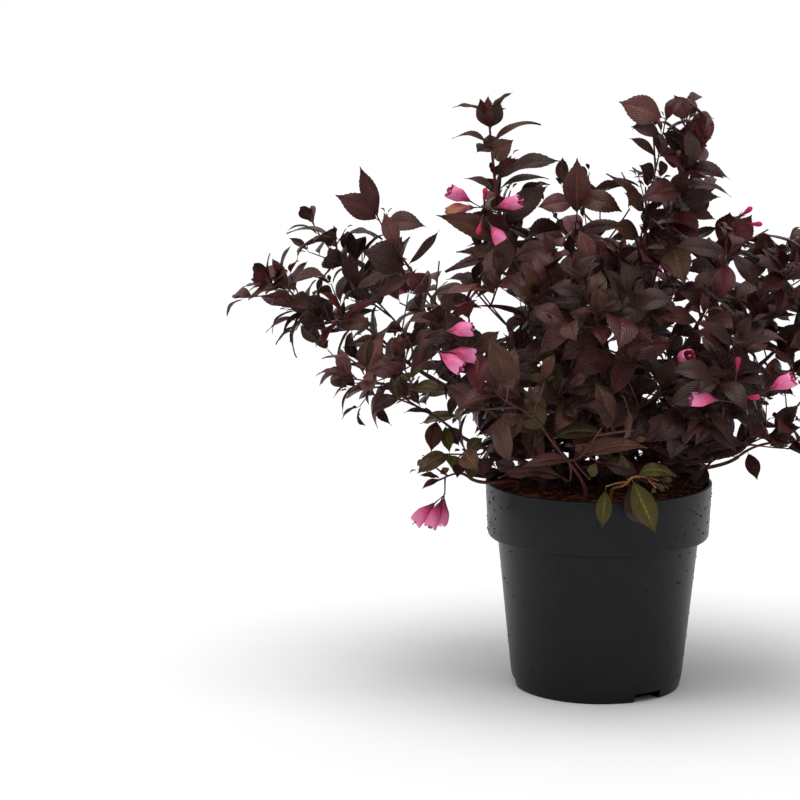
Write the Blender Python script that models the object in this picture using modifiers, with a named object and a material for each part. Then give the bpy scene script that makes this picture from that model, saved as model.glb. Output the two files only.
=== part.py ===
"""Dark-leaved weigela in a round nursery pot.

The shrub is an assembly: a turned pot, the compost that fills it, the woody stems that rise from
the compost, and one solid for each leafy mass. Every mass keeps to its own space, the part of the
crown that is nearer to its own main shoot than to any other. Metres, +Z up. The origin is the
centre of the pot's flat underside, and the photographed front of the plant faces -Y.
"""

import math
import random
from collections import namedtuple

import bmesh
import bpy
from mathutils import Matrix, Vector
from mathutils.bvhtree import BVHTree

UP = Vector((0, 0, 1))
SEED = "weigela"

# Pot: a deep, slightly tapered collar over a tapering body with a rounded foot, in which three
# drainage notches are spaced evenly. Headings are degrees round from +X.
POT_HEIGHT = 0.208
RIM_RADIUS = 0.113
RIM_EDGE = 0.0009
COLLAR_FOOT_RADIUS = 0.1105
COLLAR_DROP = 0.050
COLLAR_LIP = 0.0018
STEP_DROP = 0.009
BODY_RADIUS = 0.1005
BASE_RADIUS = 0.0862
FOOT_RADIUS = 0.0835
FOOT_RISE = 0.012
FOOT_ROUND = 0.0010
WALL = 0.0022
FLOOR = 0.003
POT_SIDES = 28
NOTCH_HEADINGS = (-52.5, 67.5, 187.5)
NOTCH_WIDTH = 0.032
NOTCH_HEIGHT = 0.009
NOTCH_DEPTH = 0.016
CUTTER_EXCESS = 0.010

# Compost, and the clearances between solids
SOIL_BELOW_RIM = 0.004
SOIL_TOP = POT_HEIGHT - SOIL_BELOW_RIM
GAP = 0.0003
CLEARANCE = 0.0006
RIM_CLEARANCE = 0.0015

# Stems and shoots
FLARE = 1.55
COLLAR_FLARE = 1.22
FLARE_HEIGHT = 0.012
STEM_TIP_RADIUS = 0.0017
SIDE_STEM_RADIUS = 0.0015
SHOOT_TIP_RADIUS = 0.0008
BOUGH_END_RISE = 0.8
HANDLE = 0.35
SIDE_HANDLE = 0.18
STUB = 0.003
LIMB_POINTS = 6
STEM_POINTS = 5
LIMB_SIDES_STEP = 1
SWAY = 0.006
SIDE_TURN = 12
LIMB_ATTEMPTS = 14

# Side twigs: where they leave the shoot, at what angles in degrees, and how they bend
TWIG_RADIUS = 0.0011
TWIG_POINTS = 3
TWIG_SIDES = 3
TWIG_THICKENING = 1.3
TWIG_ZONE = (0.20, 0.86)
TWIG_SCATTER = 0.03
TWIG_SPREAD = (42, 62)
TWIG_TWIST = 55
TWIG_LIFT = 0.12
TWIG_BEND = (-0.10, 0.16)
TWIG_ATTEMPTS = 5

# Leaves: their size, where they leave the shoot, and how they lean, droop and arch
LEAF_LENGTH = 0.066
LEAF_WIDTH = 0.50
LEAF_WIDEST = 0.45
LEAF_KEEL = 0.0020
LEAF_SINK = 0.0005
LEAF_MARGIN = 1.03
INTERNODE = 0.048
LEAF_ZONE = (0.18, 0.92)
CREST = 0.975
CREST_SIZE = 1.05
TWIG_LEAF = 0.55
TWIG_TIP_LEAF = 0.985
TWIG_TIP_SIZE = 1.4
LEAF_SPREAD = (58, 78)
TIP_NARROWING = 34
LEAF_TWIST = 18
LEAF_DROOP = 0.30
LEAF_TILT = 0.35
LEAF_BEND = (0.08, 0.26)
STAGGER = 0.0028
LEAF_ATTEMPTS = 5
ASTRAY = 0.010

# Blossom: half-open funnels and slender buds on short stalks
FLOWER_LENGTH = 0.028
FLOWER_MOUTH = 0.0068
BUD_LENGTH = 0.016
BUD_RADIUS = 0.0024
STALK_RADIUS = 0.0011
PEDICEL_RADIUS = 0.0009
PEDICEL_ROOT = 0.0006
FLOWER_STEP = 0.12

# Fusing
WELD = 0.000002
CAP_WELD = 0.00001
NUDGE = 0.00002
JOIN_ATTEMPTS = 5

# A stem rises from `foot` on the compost to `tip`. `bow` is how far it climbs before it spreads,
# as a share of its length, and `foot_radius` is its radius above the root flare.
Bough = namedtuple("Bough", "foot tip bow foot_radius")
BOUGHS = {
    "stem_left_spire": Bough((-0.020, 0.004), (-0.085, -0.020, 0.423), 0.30, 0.0040),
    "stem_middle": Bough((-0.006, 0.020), (-0.028, 0.030, 0.401), 0.20, 0.0034),
    "stem_right_spire": Bough((0.014, 0.004), (0.050, 0.000, 0.400), 0.25, 0.0044),
    "stem_right": Bough((0.030, -0.014), (0.099, -0.030, 0.379), 0.30, 0.0036),
    "stem_far_right": Bough((0.042, 0.006), (0.173, 0.010, 0.340), 0.30, 0.0040),
    "branch_low_right": Bough((0.062, -0.008), (0.138, -0.010, 0.236), 0.18, 0.0026),
    "stem_left": Bough((-0.036, -0.012), (-0.155, -0.040, 0.381), 0.32, 0.0036),
    "stem_far_left": Bough((-0.046, 0.008), (-0.212, 0.000, 0.342), 0.26, 0.0038),
    "branch_low_left": Bough((-0.054, -0.030), (-0.141, -0.050, 0.264), 0.26, 0.0026),
    "twig_low_left": Bough((-0.078, -0.040), (-0.126, -0.056, 0.219), 0.16, 0.0020),
    "stem_front_left": Bough((-0.012, -0.086), (-0.051, -0.120, 0.277), 0.20, 0.0028),
    "twig_front_right": Bough((0.012, -0.090), (0.028, -0.125, 0.231), 0.30, 0.0020),
    "stem_centre": Bough((0.004, -0.024), (0.004, -0.050, 0.322), 0.20, 0.0034),
    "stem_back_left": Bough((-0.026, 0.030), (-0.062, 0.072, 0.350), 0.28, 0.0036),
    "stem_back_far_left": Bough((-0.046, 0.032), (-0.134, 0.085, 0.327), 0.28, 0.0032),
    "stem_back_mid": Bough((0.004, 0.042), (-0.001, 0.095, 0.371), 0.28, 0.0036),
    "stem_back_right": Bough((0.026, 0.030), (0.065, 0.070, 0.362), 0.28, 0.0036),
    "stem_back_far_right": Bough((0.046, 0.030), (0.127, 0.085, 0.335), 0.28, 0.0032),
}

# A mass is a leafy shoot that leaves `bough` at the share `along` of it (1 is its tip) and ends
# at `tip`. `reach` is the length of its longest side twigs, `twigs` their number, and `size`
# scales its leaves. `lift` turns its end from straight on (0) towards the sky (1) or down (-1).
Mass = namedtuple("Mass", "bough along tip reach twigs size lift")
MASSES = {
    "foliage_left_spire": Mass("stem_left_spire", 1, (-0.112, -0.010, 0.572), 0.042, 3, 0.80, 0.5),
    "foliage_left_inner": Mass("stem_left_spire", 0.62, (-0.120, -0.075, 0.412), 0.060, 3, 0.95, 0.3),
    "foliage_middle": Mass("stem_middle", 1, (-0.024, 0.015, 0.485), 0.060, 3, 1.05, 0.5),
    "foliage_centre_left": Mass("stem_middle", 0.60, (-0.062, -0.085, 0.402), 0.065, 3, 1.0, 0.2),
    "foliage_right_spire": Mass("stem_right_spire", 1, (0.084, 0.000, 0.570), 0.055, 4, 0.95, 0.5),
    "foliage_right_crest": Mass("stem_right_spire", 0.93, (0.040, -0.022, 0.556), 0.045, 3, 0.95, 0.6),
    "foliage_centre_top": Mass("stem_right_spire", 0.62, (0.016, -0.040, 0.440), 0.065, 3, 1.0, 0.3),
    "foliage_right_shoulder": Mass("stem_right", 1, (0.130, -0.040, 0.462), 0.055, 3, 1.0, 0.3),
    "foliage_right_flowers": Mass("stem_right", 0.45, (0.125, -0.145, 0.338), 0.065, 3, 1.0, 0.1),
    "foliage_right_top": Mass("stem_far_right", 0.80, (0.186, 0.050, 0.448), 0.060, 3, 0.95, 0.4),
    "foliage_far_right": Mass("stem_far_right", 1, (0.262, -0.004, 0.424), 0.060, 3, 1.0, 0.3),
    "foliage_far_right_low": Mass("stem_far_right", 0.92, (0.285, -0.060, 0.335), 0.060, 2, 1.0, 0.0),
    "foliage_low_right": Mass("branch_low_right", 1, (0.250, 0.000, 0.246), 0.045, 3, 0.85, 0.0),
    "foliage_right_low": Mass("branch_low_right", 0.65, (0.185, -0.090, 0.286), 0.060, 3, 0.9, 0.1),
    "foliage_left_shoot": Mass("stem_left", 1, (-0.226, -0.032, 0.488), 0.040, 2, 0.90, 0.4),
    "foliage_left_flowers": Mass("stem_left", 0.60, (-0.134, -0.140, 0.367), 0.055, 3, 0.9, 0.1),
    "foliage_far_left_end": Mass("stem_far_left", 1, (-0.335, -0.010, 0.405), 0.050, 3, 0.85, 0.2),
    "foliage_far_left_top": Mass("stem_far_left", 0.88, (-0.292, 0.030, 0.465), 0.050, 3, 0.85, 0.4),
    "foliage_far_left_low": Mass("stem_far_left", 0.72, (-0.250, -0.065, 0.318), 0.050, 3, 0.85, 0.0),
    "foliage_low_left": Mass("branch_low_left", 1, (-0.190, -0.066, 0.300), 0.050, 3, 0.8, 0.1),
    "foliage_low_left_green": Mass("branch_low_left", 0.70, (-0.165, -0.095, 0.246), 0.040, 2, 0.8, -0.2),
    "foliage_hanging_flowers": Mass("twig_low_left", 1, (-0.166, -0.066, 0.214), 0.022, 1, 0.55, -0.1),
    "foliage_front_left": Mass("stem_front_left", 1, (-0.098, -0.170, 0.324), 0.045, 3, 1.1, 0.2),
    "foliage_front_mid": Mass("stem_front_left", 0.55, (0.004, -0.170, 0.292), 0.050, 3, 1.1, 0.1),
    "foliage_front_hanging": Mass("twig_front_right", 1, (0.056, -0.142, 0.236), 0.028, 2, 0.85, -0.4),
    "foliage_centre_front": Mass("stem_centre", 1, (-0.002, -0.135, 0.387), 0.065, 3, 1.0, 0.2),
    "foliage_centre_low": Mass("stem_centre", 0.50, (-0.045, -0.110, 0.318), 0.055, 3, 0.95, 0.1),
    "foliage_centre_right": Mass("stem_centre", 0.62, (0.062, -0.120, 0.318), 0.060, 3, 1.0, 0.1),
    "foliage_back_left": Mass("stem_back_left", 1, (-0.090, 0.130, 0.442), 0.070, 3, 1.0, 0.3),
    "foliage_back_low_left": Mass("stem_back_left", 0.55, (-0.135, 0.205, 0.262), 0.060, 3, 0.95, 0.0),
    "foliage_back_far_left": Mass("stem_back_far_left", 1, (-0.205, 0.145, 0.395), 0.065, 3, 0.95, 0.2),
    "foliage_back_crest": Mass("stem_back_mid", 1, (-0.002, 0.130, 0.474), 0.065, 3, 1.0, 0.4),
    "foliage_back_mid": Mass("stem_back_mid", 0.80, (0.045, 0.215, 0.375), 0.065, 2, 1.0, 0.2),
    "foliage_back_low": Mass("stem_back_mid", 0.50, (0.000, 0.240, 0.270), 0.060, 2, 1.0, 0.0),
    "foliage_back_flank": Mass("stem_back_left", 0.82, (-0.060, 0.205, 0.360), 0.060, 3, 1.0, 0.2),
    "foliage_back_right": Mass("stem_back_right", 1, (0.090, 0.120, 0.460), 0.065, 3, 1.0, 0.4),
    "foliage_back_low_right": Mass("stem_back_right", 0.55, (0.138, 0.205, 0.262), 0.060, 3, 0.95, 0.0),
    "foliage_back_far_right": Mass("stem_back_far_right", 1, (0.200, 0.140, 0.405), 0.065, 3, 0.95, 0.2),
}

# A truss of blossom leaves the main shoot of `mass` at the share `along` of it, on a stalk that
# ends at `fork`. Each flower there has a direction, the length of its own stalk and its kind.
Truss = namedtuple("Truss", "mass along fork flowers")
TRUSSES = (
    Truss("foliage_left_spire", 0.36, (-0.119, -0.035, 0.484), (
        ((-0.8, -0.4, 0.5), 0.012, "open"),
        ((-1.0, -0.35, 0.0), 0.009, "faded"),
        ((0.05, -0.2, 1.0), 0.005, "bud"),
    )),
    Truss("foliage_left_spire", 0.42, (-0.104, -0.045, 0.483), (((0.9, -0.3, 0.35), 0.004, "open"),)),
    Truss("foliage_left_spire", 0.26, (-0.115, -0.055, 0.477), (
        ((-0.2, -0.3, -0.9), 0.004, "bud"),
        ((0.55, -0.5, -0.7), 0.012, "open"),
    )),
    Truss("foliage_left_flowers", 0.90, (-0.147, -0.150, 0.376), (((1.0, -0.2, 0.15), 0.005, "open"),)),
    Truss("foliage_left_flowers", 0.82, (-0.153, -0.155, 0.358), (
        ((0.85, -0.35, -0.45), 0.005, "open"),
        ((0.95, 0.1, -0.1), 0.009, "open"),
    )),
    Truss("foliage_right_flowers", 0.86, (0.125, -0.160, 0.314), (
        ((-1.0, -0.2, 0.15), 0.017, "open"),
        ((0.08, -0.15, 1.0), 0.026, "bud"),
        ((0.9, -0.5, 0.1), 0.013, "bud"),
    )),
    Truss("foliage_right_flowers", 0.95, (0.144, -0.152, 0.318), (((0.8, -0.3, 0.5), 0.017, "open"),)),
    Truss("foliage_right_shoulder", 0.97, (0.125, -0.050, 0.472), (
        ((0.75, -0.2, 0.6), 0.008, "bud"),
        ((1.0, -0.3, 0.0), 0.013, "bud"),
    )),
    Truss("foliage_hanging_flowers", 0.60, (-0.150, -0.066, 0.204), (
        ((-0.75, -0.2, -0.65), 0.014, "open"),
        ((-0.4, -0.35, -0.9), 0.011, "open"),
        ((-0.12, 0.15, -1.0), 0.009, "open"),
    )),
    Truss("foliage_centre_right", 0.85, (0.072, -0.095, 0.341), (((0.3, -0.6, 0.3), 0.005, "open"),)),
    Truss("foliage_right_low", 0.45, (0.125, -0.062, 0.252), (((0.2, -0.5, 0.5), 0.006, "bud"),)),
    Truss("foliage_far_right", 0.60, (0.240, -0.035, 0.410), (
        ((0.5, -0.8, 0.2), 0.006, "open"),
        ((0.9, -0.2, 0.5), 0.006, "bud"),
    )),
    Truss("foliage_back_left", 0.65, (-0.098, 0.130, 0.424), (
        ((-0.7, 0.6, 0.2), 0.006, "open"),
        ((0.1, 0.9, 0.1), 0.006, "faded"),
    )),
    Truss("foliage_back_mid", 0.70, (0.040, 0.205, 0.396), (
        ((0.7, 0.6, 0.2), 0.006, "open"),
        ((-0.5, 0.8, 0.3), 0.006, "open"),
    )),
    Truss("foliage_back_low", 0.75, (0.006, 0.210, 0.262), (((0.1, 0.9, -0.3), 0.006, "open"),)),
    Truss("foliage_back_far_right", 0.70, (0.200, 0.135, 0.382), (
        ((0.8, 0.5, -0.1), 0.006, "open"),
        ((0.6, -0.3, 0.6), 0.006, "bud"),
    )),
    Truss("foliage_back_far_left", 0.75, (-0.200, 0.150, 0.378), (
        ((-0.8, 0.5, 0.1), 0.006, "open"),
        ((-0.3, 0.9, 0.4), 0.006, "bud"),
    )),
)

Leaf = namedtuple("Leaf", "origin along normal length width bend")
Twig = namedtuple("Twig", "points radii")
Flower = namedtuple("Flower", "base stalk_end tip kind")


def chance(*names):
    """Random numbers that are always the same for the same names."""
    return random.Random(" ".join([SEED, *map(str, names)]))


def shaken(rng, reach):
    """A random offset of up to `reach` each way."""
    return Vector([rng.uniform(-reach, reach) for _ in range(3)])


def square_to(axis, hint):
    """Unit vector square to `axis`, as near to `hint` as it can be."""
    side = hint - axis * hint.dot(axis)
    if side.length < 1e-4:
        side = axis.orthogonal()
    return side.normalized()


def turned(vector, axis, degrees):
    """`vector` turned about `axis`."""
    return Matrix.Rotation(math.radians(degrees), 3, axis) @ vector


def level_side(axis):
    """Unit vector square to `axis` that lies level."""
    return square_to(axis, UP.cross(axis) + Vector((0.01, 0, 0)))


def bezier(a, b, c, d, share):
    """Point on a cubic Bezier curve."""
    rest = 1 - share
    return rest**3 * a + 3 * rest**2 * share * b + 3 * rest * share**2 * c + share**3 * d


def path_length(path):
    """Length of a path along its points."""
    return sum((end - start).length for start, end in zip(path.points, path.points[1:]))


def point_on(path, share):
    """Point, direction and radius at `share` of the way along a path."""
    left = path_length(path) * min(max(share, 0), 1)
    last = len(path.points) - 2
    for step in range(last + 1):
        start, end = path.points[step], path.points[step + 1]
        stretch = (end - start).length
        if left <= stretch or step == last:
            break
        left -= stretch
    part = min(left / stretch, 1)
    radius = path.radii[step] * (1 - part) + path.radii[step + 1] * part
    return start.lerp(end, part), (end - start).normalized(), radius


def bough_path(name, attempt):
    """A stem from its flat cut on the compost, over the root flare, to its tip."""
    bough = BOUGHS[name]
    rng = chance(name, attempt)
    cut = Vector((*bough.foot, SOIL_TOP + GAP))
    start = cut + UP * FLARE_HEIGHT / 2
    tip = Vector(bough.tip)
    span = (tip - start).length
    outward = Vector((tip.x - start.x, tip.y - start.y, span * BOUGH_END_RISE)).normalized()
    climb = start + UP * span * bough.bow + shaken(rng, attempt * SWAY)
    turn = tip - outward * span * HANDLE + shaken(rng, attempt * SWAY)
    points = [cut]
    radii = [bough.foot_radius * FLARE]
    for step in range(LIMB_POINTS):
        share = step / (LIMB_POINTS - 1)
        points.append(bezier(start, climb, turn, tip, share))
        radii.append(bough.foot_radius * (1 - share) + STEM_TIP_RADIUS * share)
    radii[1] *= COLLAR_FLARE
    return Twig(points, radii)


def stem_path(name, bough, attempt):
    """The main shoot of a mass, from just clear of its bough to its own tip."""
    mass = MASSES[name]
    rng = chance(name, attempt)
    end = Vector(mass.tip)
    joint, axis, bough_radius = point_on(bough, mass.along)
    if mass.along == 1:
        way = axis
        start = joint + axis * GAP
        radius = STEM_TIP_RADIUS
        handle = HANDLE
    else:
        turn = rng.uniform(-SIDE_TURN, SIDE_TURN) * attempt
        way = square_to(axis, turned(end - joint, axis, turn))
        start = joint + way * (bough_radius + GAP)
        radius = SIDE_STEM_RADIUS
        handle = SIDE_HANDLE
    span = (end - start).length
    finish = ((end - start).normalized() + UP * mass.lift).normalized()
    leave = start + way * (STUB + span * handle)
    arrive = end - finish * span * HANDLE + shaken(rng, attempt * SWAY)
    points = [start]
    radii = [radius]
    for step in range(STEM_POINTS):
        share = step / (STEM_POINTS - 1)
        points.append(bezier(start + way * STUB, leave, arrive, end, share))
        radii.append(radius * (1 - share) + SHOOT_TIP_RADIUS * share)
    return Twig(points, radii)


def side_twig(name, stem, order, attempt):
    """A side twig in the axil of a leaf of the main shoot."""
    mass = MASSES[name]
    rng = chance(name, "twig", order, attempt)
    first, last = TWIG_ZONE
    share = first + (last - first) * (order + 0.5) / mass.twigs
    share += rng.uniform(-TWIG_SCATTER, TWIG_SCATTER)
    start, axis, _ = point_on(stem, share)
    twist = rng.uniform(-TWIG_TWIST, TWIG_TWIST) * (1 + 0.5 * attempt)
    radial = turned(level_side(axis), axis, 180 * (order % 2) + twist)
    spread = math.radians(rng.uniform(*TWIG_SPREAD))
    way = axis * math.cos(spread) + radial * math.sin(spread)
    way = (way + UP * (TWIG_LIFT + HANDLE * mass.lift)).normalized()
    length = mass.reach * (1.1 - 0.45 * share) * rng.uniform(0.85, 1.15) * (1 - 0.12 * attempt)
    bend = UP * length * rng.uniform(*TWIG_BEND)
    points = []
    radii = []
    for step in range(TWIG_POINTS):
        along = step / (TWIG_POINTS - 1)
        points.append(start + way * length * along + bend * along**2)
        radii.append(TWIG_RADIUS * (1 - along) + SHOOT_TIP_RADIUS * along)
    return Twig(points, radii)


def leaf_on(name, shoot, share, bearing, size, key, attempt):
    """One leaf that leaves a shoot at `share`, `bearing` degrees round from level."""
    rng = chance(name, key, attempt)
    joint, axis, _ = point_on(shoot, share)
    twist = rng.uniform(-LEAF_TWIST, LEAF_TWIST) * (1 + attempt)
    radial = turned(level_side(axis), axis, bearing + twist)
    # Leaves of a sloping shoot turn to lie level, so their spread is flattened.
    radial.z *= 0.55 + 0.45 * abs(axis.z)
    spread = math.radians(rng.uniform(*LEAF_SPREAD) - TIP_NARROWING * max(share - 0.6, 0) / 0.4)
    way = axis * math.cos(spread) + radial.normalized() * math.sin(spread)
    way = (way - UP * rng.uniform(0, LEAF_DROOP) * (1.2 - share)).normalized()
    facing = UP * 0.8 + axis * 0.5 + shaken(rng, LEAF_TILT)
    # The longest leaves are at the middle of a shoot, and the shortest at its tip.
    profile = 1 - (0.8 if share < 0.5 else 2.0) * (share - 0.5) ** 2
    length = LEAF_LENGTH * MASSES[name].size * size * profile * rng.uniform(0.88, 1.10)
    width = length * LEAF_WIDTH * rng.uniform(0.92, 1.08)
    return Leaf(joint, way, square_to(way, facing), length, width, rng.uniform(*LEAF_BEND))


def leaf_corners(leaf, keel):
    """A leaf's root, its two widest points, its tip and the keel of its midrib."""
    side = leaf.along.cross(leaf.normal)
    arch = leaf.length * leaf.bend
    root = leaf.origin - leaf.along * LEAF_SINK
    middle = leaf.origin + leaf.along * leaf.length * LEAF_WIDEST + leaf.normal * arch * 0.3
    tip = leaf.origin + leaf.along * leaf.length - leaf.normal * arch
    margin = side * leaf.width / 2
    return [root, middle + margin, middle - margin, tip, middle - leaf.normal * keel]


LEAF_FACES = ((0, 1, 2), (1, 3, 2), (0, 4, 1), (0, 2, 4), (1, 4, 3), (4, 2, 3))


def leaf_shape(leaf, rooted=True):
    """Corners and faces of a leaf, a little larger than it is, with or without its root."""
    corners = leaf_corners(leaf, LEAF_KEEL + 3 * CLEARANCE)
    if not rooted:
        corners[0] = corners[0].lerp(corners[3], 0.25)
    centre = (corners[1] + corners[2]) / 2
    rise = leaf.normal * CLEARANCE
    return [centre + (corner - centre) * LEAF_MARGIN + rise for corner in corners], LEAF_FACES


def sleeve_shape(path, extra, sides=6):
    """Corners and faces of an open sleeve round a path, `extra` clear of its surface."""
    corners = []
    faces = []
    for step, (point, radius) in enumerate(zip(path.points, path.radii)):
        before = path.points[max(step - 1, 0)]
        after = path.points[min(step + 1, len(path.points) - 1)]
        axis = (after - before).normalized()
        side = level_side(axis)
        reach = (radius + extra) / math.cos(math.pi / sides)
        for turn in range(sides):
            corners.append(point + turned(side, axis, 360 * turn / sides) * reach)
    for step in range(len(path.points) - 1):
        for turn in range(sides):
            near, far = step * sides + turn, step * sides + (turn + 1) % sides
            faces.append((near, far, far + sides, near + sides))
    return corners, faces


def tree_of(shapes):
    """Search tree over several shapes, each given as its corners and its faces."""
    corners = []
    faces = []
    for points, polygons in shapes:
        base = len(corners)
        corners.extend(points)
        faces.extend(tuple(base + index for index in polygon) for polygon in polygons)
    return BVHTree.FromPolygons(corners, faces)


def over_pot(corners):
    """True if any corner is in or close over the pot or the compost."""
    for corner in corners:
        across = math.hypot(corner.x, corner.y)
        if across < RIM_RADIUS + RIM_CLEARANCE and corner.z < POT_HEIGHT + RIM_CLEARANCE:
            return True
    return False


class Crown:
    """Every limb, twig, leaf and flower, with the search trees that keep the masses apart."""

    def __init__(self):
        self.boughs = {}
        self.stems = {}
        self.twigs = {name: [] for name in MASSES}
        self.leaves = {name: [] for name in MASSES}
        self.flowers = {name: [] for name in MASSES}
        self.limb_trees = {}
        self.mass_trees = {name: [] for name in MASSES}
        self.blade_trees = []
        self.flower_trees = []
        for name in BOUGHS:
            self.boughs[name] = self.clear_limb(name, lambda attempt: bough_path(name, attempt))
        for name, mass in MASSES.items():
            bough = self.boughs[mass.bough]
            self.stems[name] = self.clear_limb(name, lambda attempt: stem_path(name, bough, attempt))

    def clear_limb(self, name, path_for):
        """The first sway of a limb that touches no limb before it."""
        for attempt in range(LIMB_ATTEMPTS):
            path = path_for(attempt)
            beyond = Twig(path.points[1:], path.radii[1:])
            tree = tree_of([sleeve_shape(beyond, CLEARANCE)])
            if not any(tree.overlap(limb) for limb in self.limb_trees.values()):
                break
        else:
            print("limb is not clear:", name)
        self.limb_trees[name] = tree_of([sleeve_shape(path, GAP)])
        return path

    def astray(self, name, point):
        """True if a point is well nearer to another mass's main shoot than to its own."""
        own = self.limb_trees[name].find_nearest(point)[3]
        for other in MASSES:
            if other != name and self.limb_trees[other].find_nearest(point)[3] < own - ASTRAY:
                return True
        return False

    def touches(self, name, shape):
        """True if a shape touches a limb, a flower or anything of another mass."""
        tree = tree_of([shape])
        for other, limb in self.limb_trees.items():
            if other != name and tree.overlap(limb):
                return True
        for other, trees in self.mass_trees.items():
            if other != name and any(tree.overlap(grown) for grown in trees):
                return True
        return any(tree.overlap(flower) for flower in self.flower_trees)

    def fits(self, name, shape, middle):
        """True if a shape keeps to the mass's own space and touches nothing outside it."""
        corners = shape[0]
        if over_pot(corners + [corners[0].lerp(corners[-1], 0.5)]):
            return False
        return not self.astray(name, middle) and not self.touches(name, shape)

    def add_leaves(self, name, shoot, key, shares, size, first, sides=(0, 180)):
        """Crossed pairs of leaves at the given shares of a shoot."""
        length = path_length(shoot)
        for order, share in enumerate(shares):
            for side in sides:
                bearing = first + 90 * (order % 2) + side
                place = share - (STAGGER / length if side else 0)
                for attempt in range(LEAF_ATTEMPTS):
                    names = (key, order, side)
                    leaf = leaf_on(name, shoot, place, bearing, size, names, attempt)
                    blade = tree_of([leaf_shape(leaf, rooted=False)])
                    if any(blade.overlap(other) for other in self.blade_trees):
                        continue
                    shape = leaf_shape(leaf)
                    if self.fits(name, shape, shape[0][4]):
                        self.leaves[name].append(leaf)
                        self.blade_trees.append(blade)
                        break

    def add_twigs(self, name):
        """The side twigs of a mass, each with a leaf near its middle and one at its tip."""
        for order in range(MASSES[name].twigs):
            for attempt in range(TWIG_ATTEMPTS):
                twig = side_twig(name, self.stems[name], order, attempt)
                beyond = Twig(twig.points[1:], twig.radii[1:])
                if self.fits(name, sleeve_shape(beyond, CLEARANCE), twig.points[-1]):
                    self.twigs[name].append(twig)
                    first = chance(name, order).uniform(-30, 30)
                    self.add_leaves(name, twig, order, [TWIG_LEAF], 1, first, [180])
                    tip = (order, "tip")
                    self.add_leaves(name, twig, tip, [TWIG_TIP_LEAF], TWIG_TIP_SIZE, first + 90, [0])
                    break

    def add_truss(self, truss):
        """A truss of flowers and buds on a short stalk."""
        name = truss.mass
        start, _, _ = point_on(self.stems[name], truss.along)
        fork = Vector(truss.fork)
        stalk = Twig([start, fork], [STALK_RADIUS, STALK_RADIUS])
        self.twigs[name].append(stalk)
        self.mass_trees[name].append(tree_of([sleeve_shape(stalk, CLEARANCE)]))
        for order, (way, pedicel, kind) in enumerate(truss.flowers):
            way = Vector(way).normalized()
            base = fork.lerp(start, order * FLOWER_STEP)
            stalk_end = base + way * pedicel
            length = BUD_LENGTH if kind == "bud" else FLOWER_LENGTH
            flower = Flower(base, stalk_end, stalk_end + way * length, kind)
            self.flowers[name].append(flower)
            self.flower_trees.append(tree_of([sleeve_shape(flower_path(flower), GAP)]))

    def grow(self):
        """Grows the blossom first, and then the leaves and twigs of one mass after another."""
        for truss in TRUSSES:
            self.add_truss(truss)
        for name in MASSES:
            stem = self.stems[name]
            pairs = max(2, round(path_length(stem) / INTERNODE))
            first, last = LEAF_ZONE
            shares = [first + (last - first) * order / (pairs - 1) for order in range(pairs)]
            self.blade_trees = []
            self.add_leaves(name, stem, "stem", shares, 1, 0)
            self.add_leaves(name, stem, "crest", [CREST], CREST_SIZE, 90 * (pairs % 2))
            self.add_twigs(name)
            self.close(name)

    def close(self, name):
        """Puts everything that a mass has so far in one search tree."""
        shapes = [leaf_shape(leaf) for leaf in self.leaves[name]]
        shapes += [sleeve_shape(twig, GAP) for twig in self.twigs[name]]
        self.mass_trees[name].append(tree_of(shapes))


def flower_path(flower):
    """A flower's stalk and its widening corolla, or the club of a bud, as one tapering path."""
    mouth = BUD_RADIUS if flower.kind == "bud" else FLOWER_MOUTH
    points = [flower.base, flower.stalk_end, flower.tip]
    return Twig(points, [PEDICEL_ROOT, PEDICEL_RADIUS, mouth])


def material(name, colour, roughness):
    """A plain Principled material."""
    made = bpy.data.materials.new(name)
    made.use_nodes = True
    shader = made.node_tree.nodes["Principled BSDF"]
    shader.inputs["Base Color"].default_value = (*colour, 1)
    shader.inputs["Roughness"].default_value = roughness
    shader.inputs["Metallic"].default_value = 0
    return made


def collection(name):
    """A new collection in the scene."""
    made = bpy.data.collections.new(name)
    bpy.context.scene.collection.children.link(made)
    return made


def mesh_object(name, mesh, home):
    """An object for a mesh, in the collection `home`."""
    made = bpy.data.objects.new(name, mesh)
    home.objects.link(made)
    return made


def set_aside(cutter):
    """Marks an object as a cutter or a guide."""
    cutter.hide_render = True
    cutter.display_type = "WIRE"
    return cutter


def turned_solid(name, profile, home):
    """A solid turned from (radius, height) points that start and end on the axis."""
    mesh = bpy.data.meshes.new(name)
    corners = [(radius, 0, height) for radius, height in profile]
    mesh.from_pydata(corners, [(step, step + 1) for step in range(len(corners) - 1)], [])
    made = mesh_object(name, mesh, home)
    screw = made.modifiers.new("Turn", "SCREW")
    screw.axis = "Z"
    screw.steps = POT_SIDES
    screw.render_steps = POT_SIDES
    screw.use_merge_vertices = True
    screw.merge_threshold = 0.0001
    return made


def block(name, heading, inner, width, height, home):
    """A cutter that stands on the floor and reaches out through the pot's foot."""
    outer = BASE_RADIUS + CUTTER_EXCESS
    mesh = bpy.data.meshes.new(name)
    shape = bmesh.new()
    bmesh.ops.create_cube(shape, size=1)
    bmesh.ops.scale(shape, vec=(outer - inner, width, height + CUTTER_EXCESS), verts=shape.verts)
    centre = ((inner + outer) / 2, 0, (height - CUTTER_EXCESS) / 2)
    bmesh.ops.translate(shape, vec=centre, verts=shape.verts)
    shape.to_mesh(mesh)
    shape.free()
    made = set_aside(mesh_object(name, mesh, home))
    made.rotation_euler = (0, 0, math.radians(heading))
    return made


def cut(target, cutter):
    """Takes the cutter's shape out of the target."""
    boolean = target.modifiers.new("Cut " + cutter.name, "BOOLEAN")
    boolean.operation = "DIFFERENCE"
    boolean.object = cutter
    boolean.solver = "EXACT"


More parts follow.
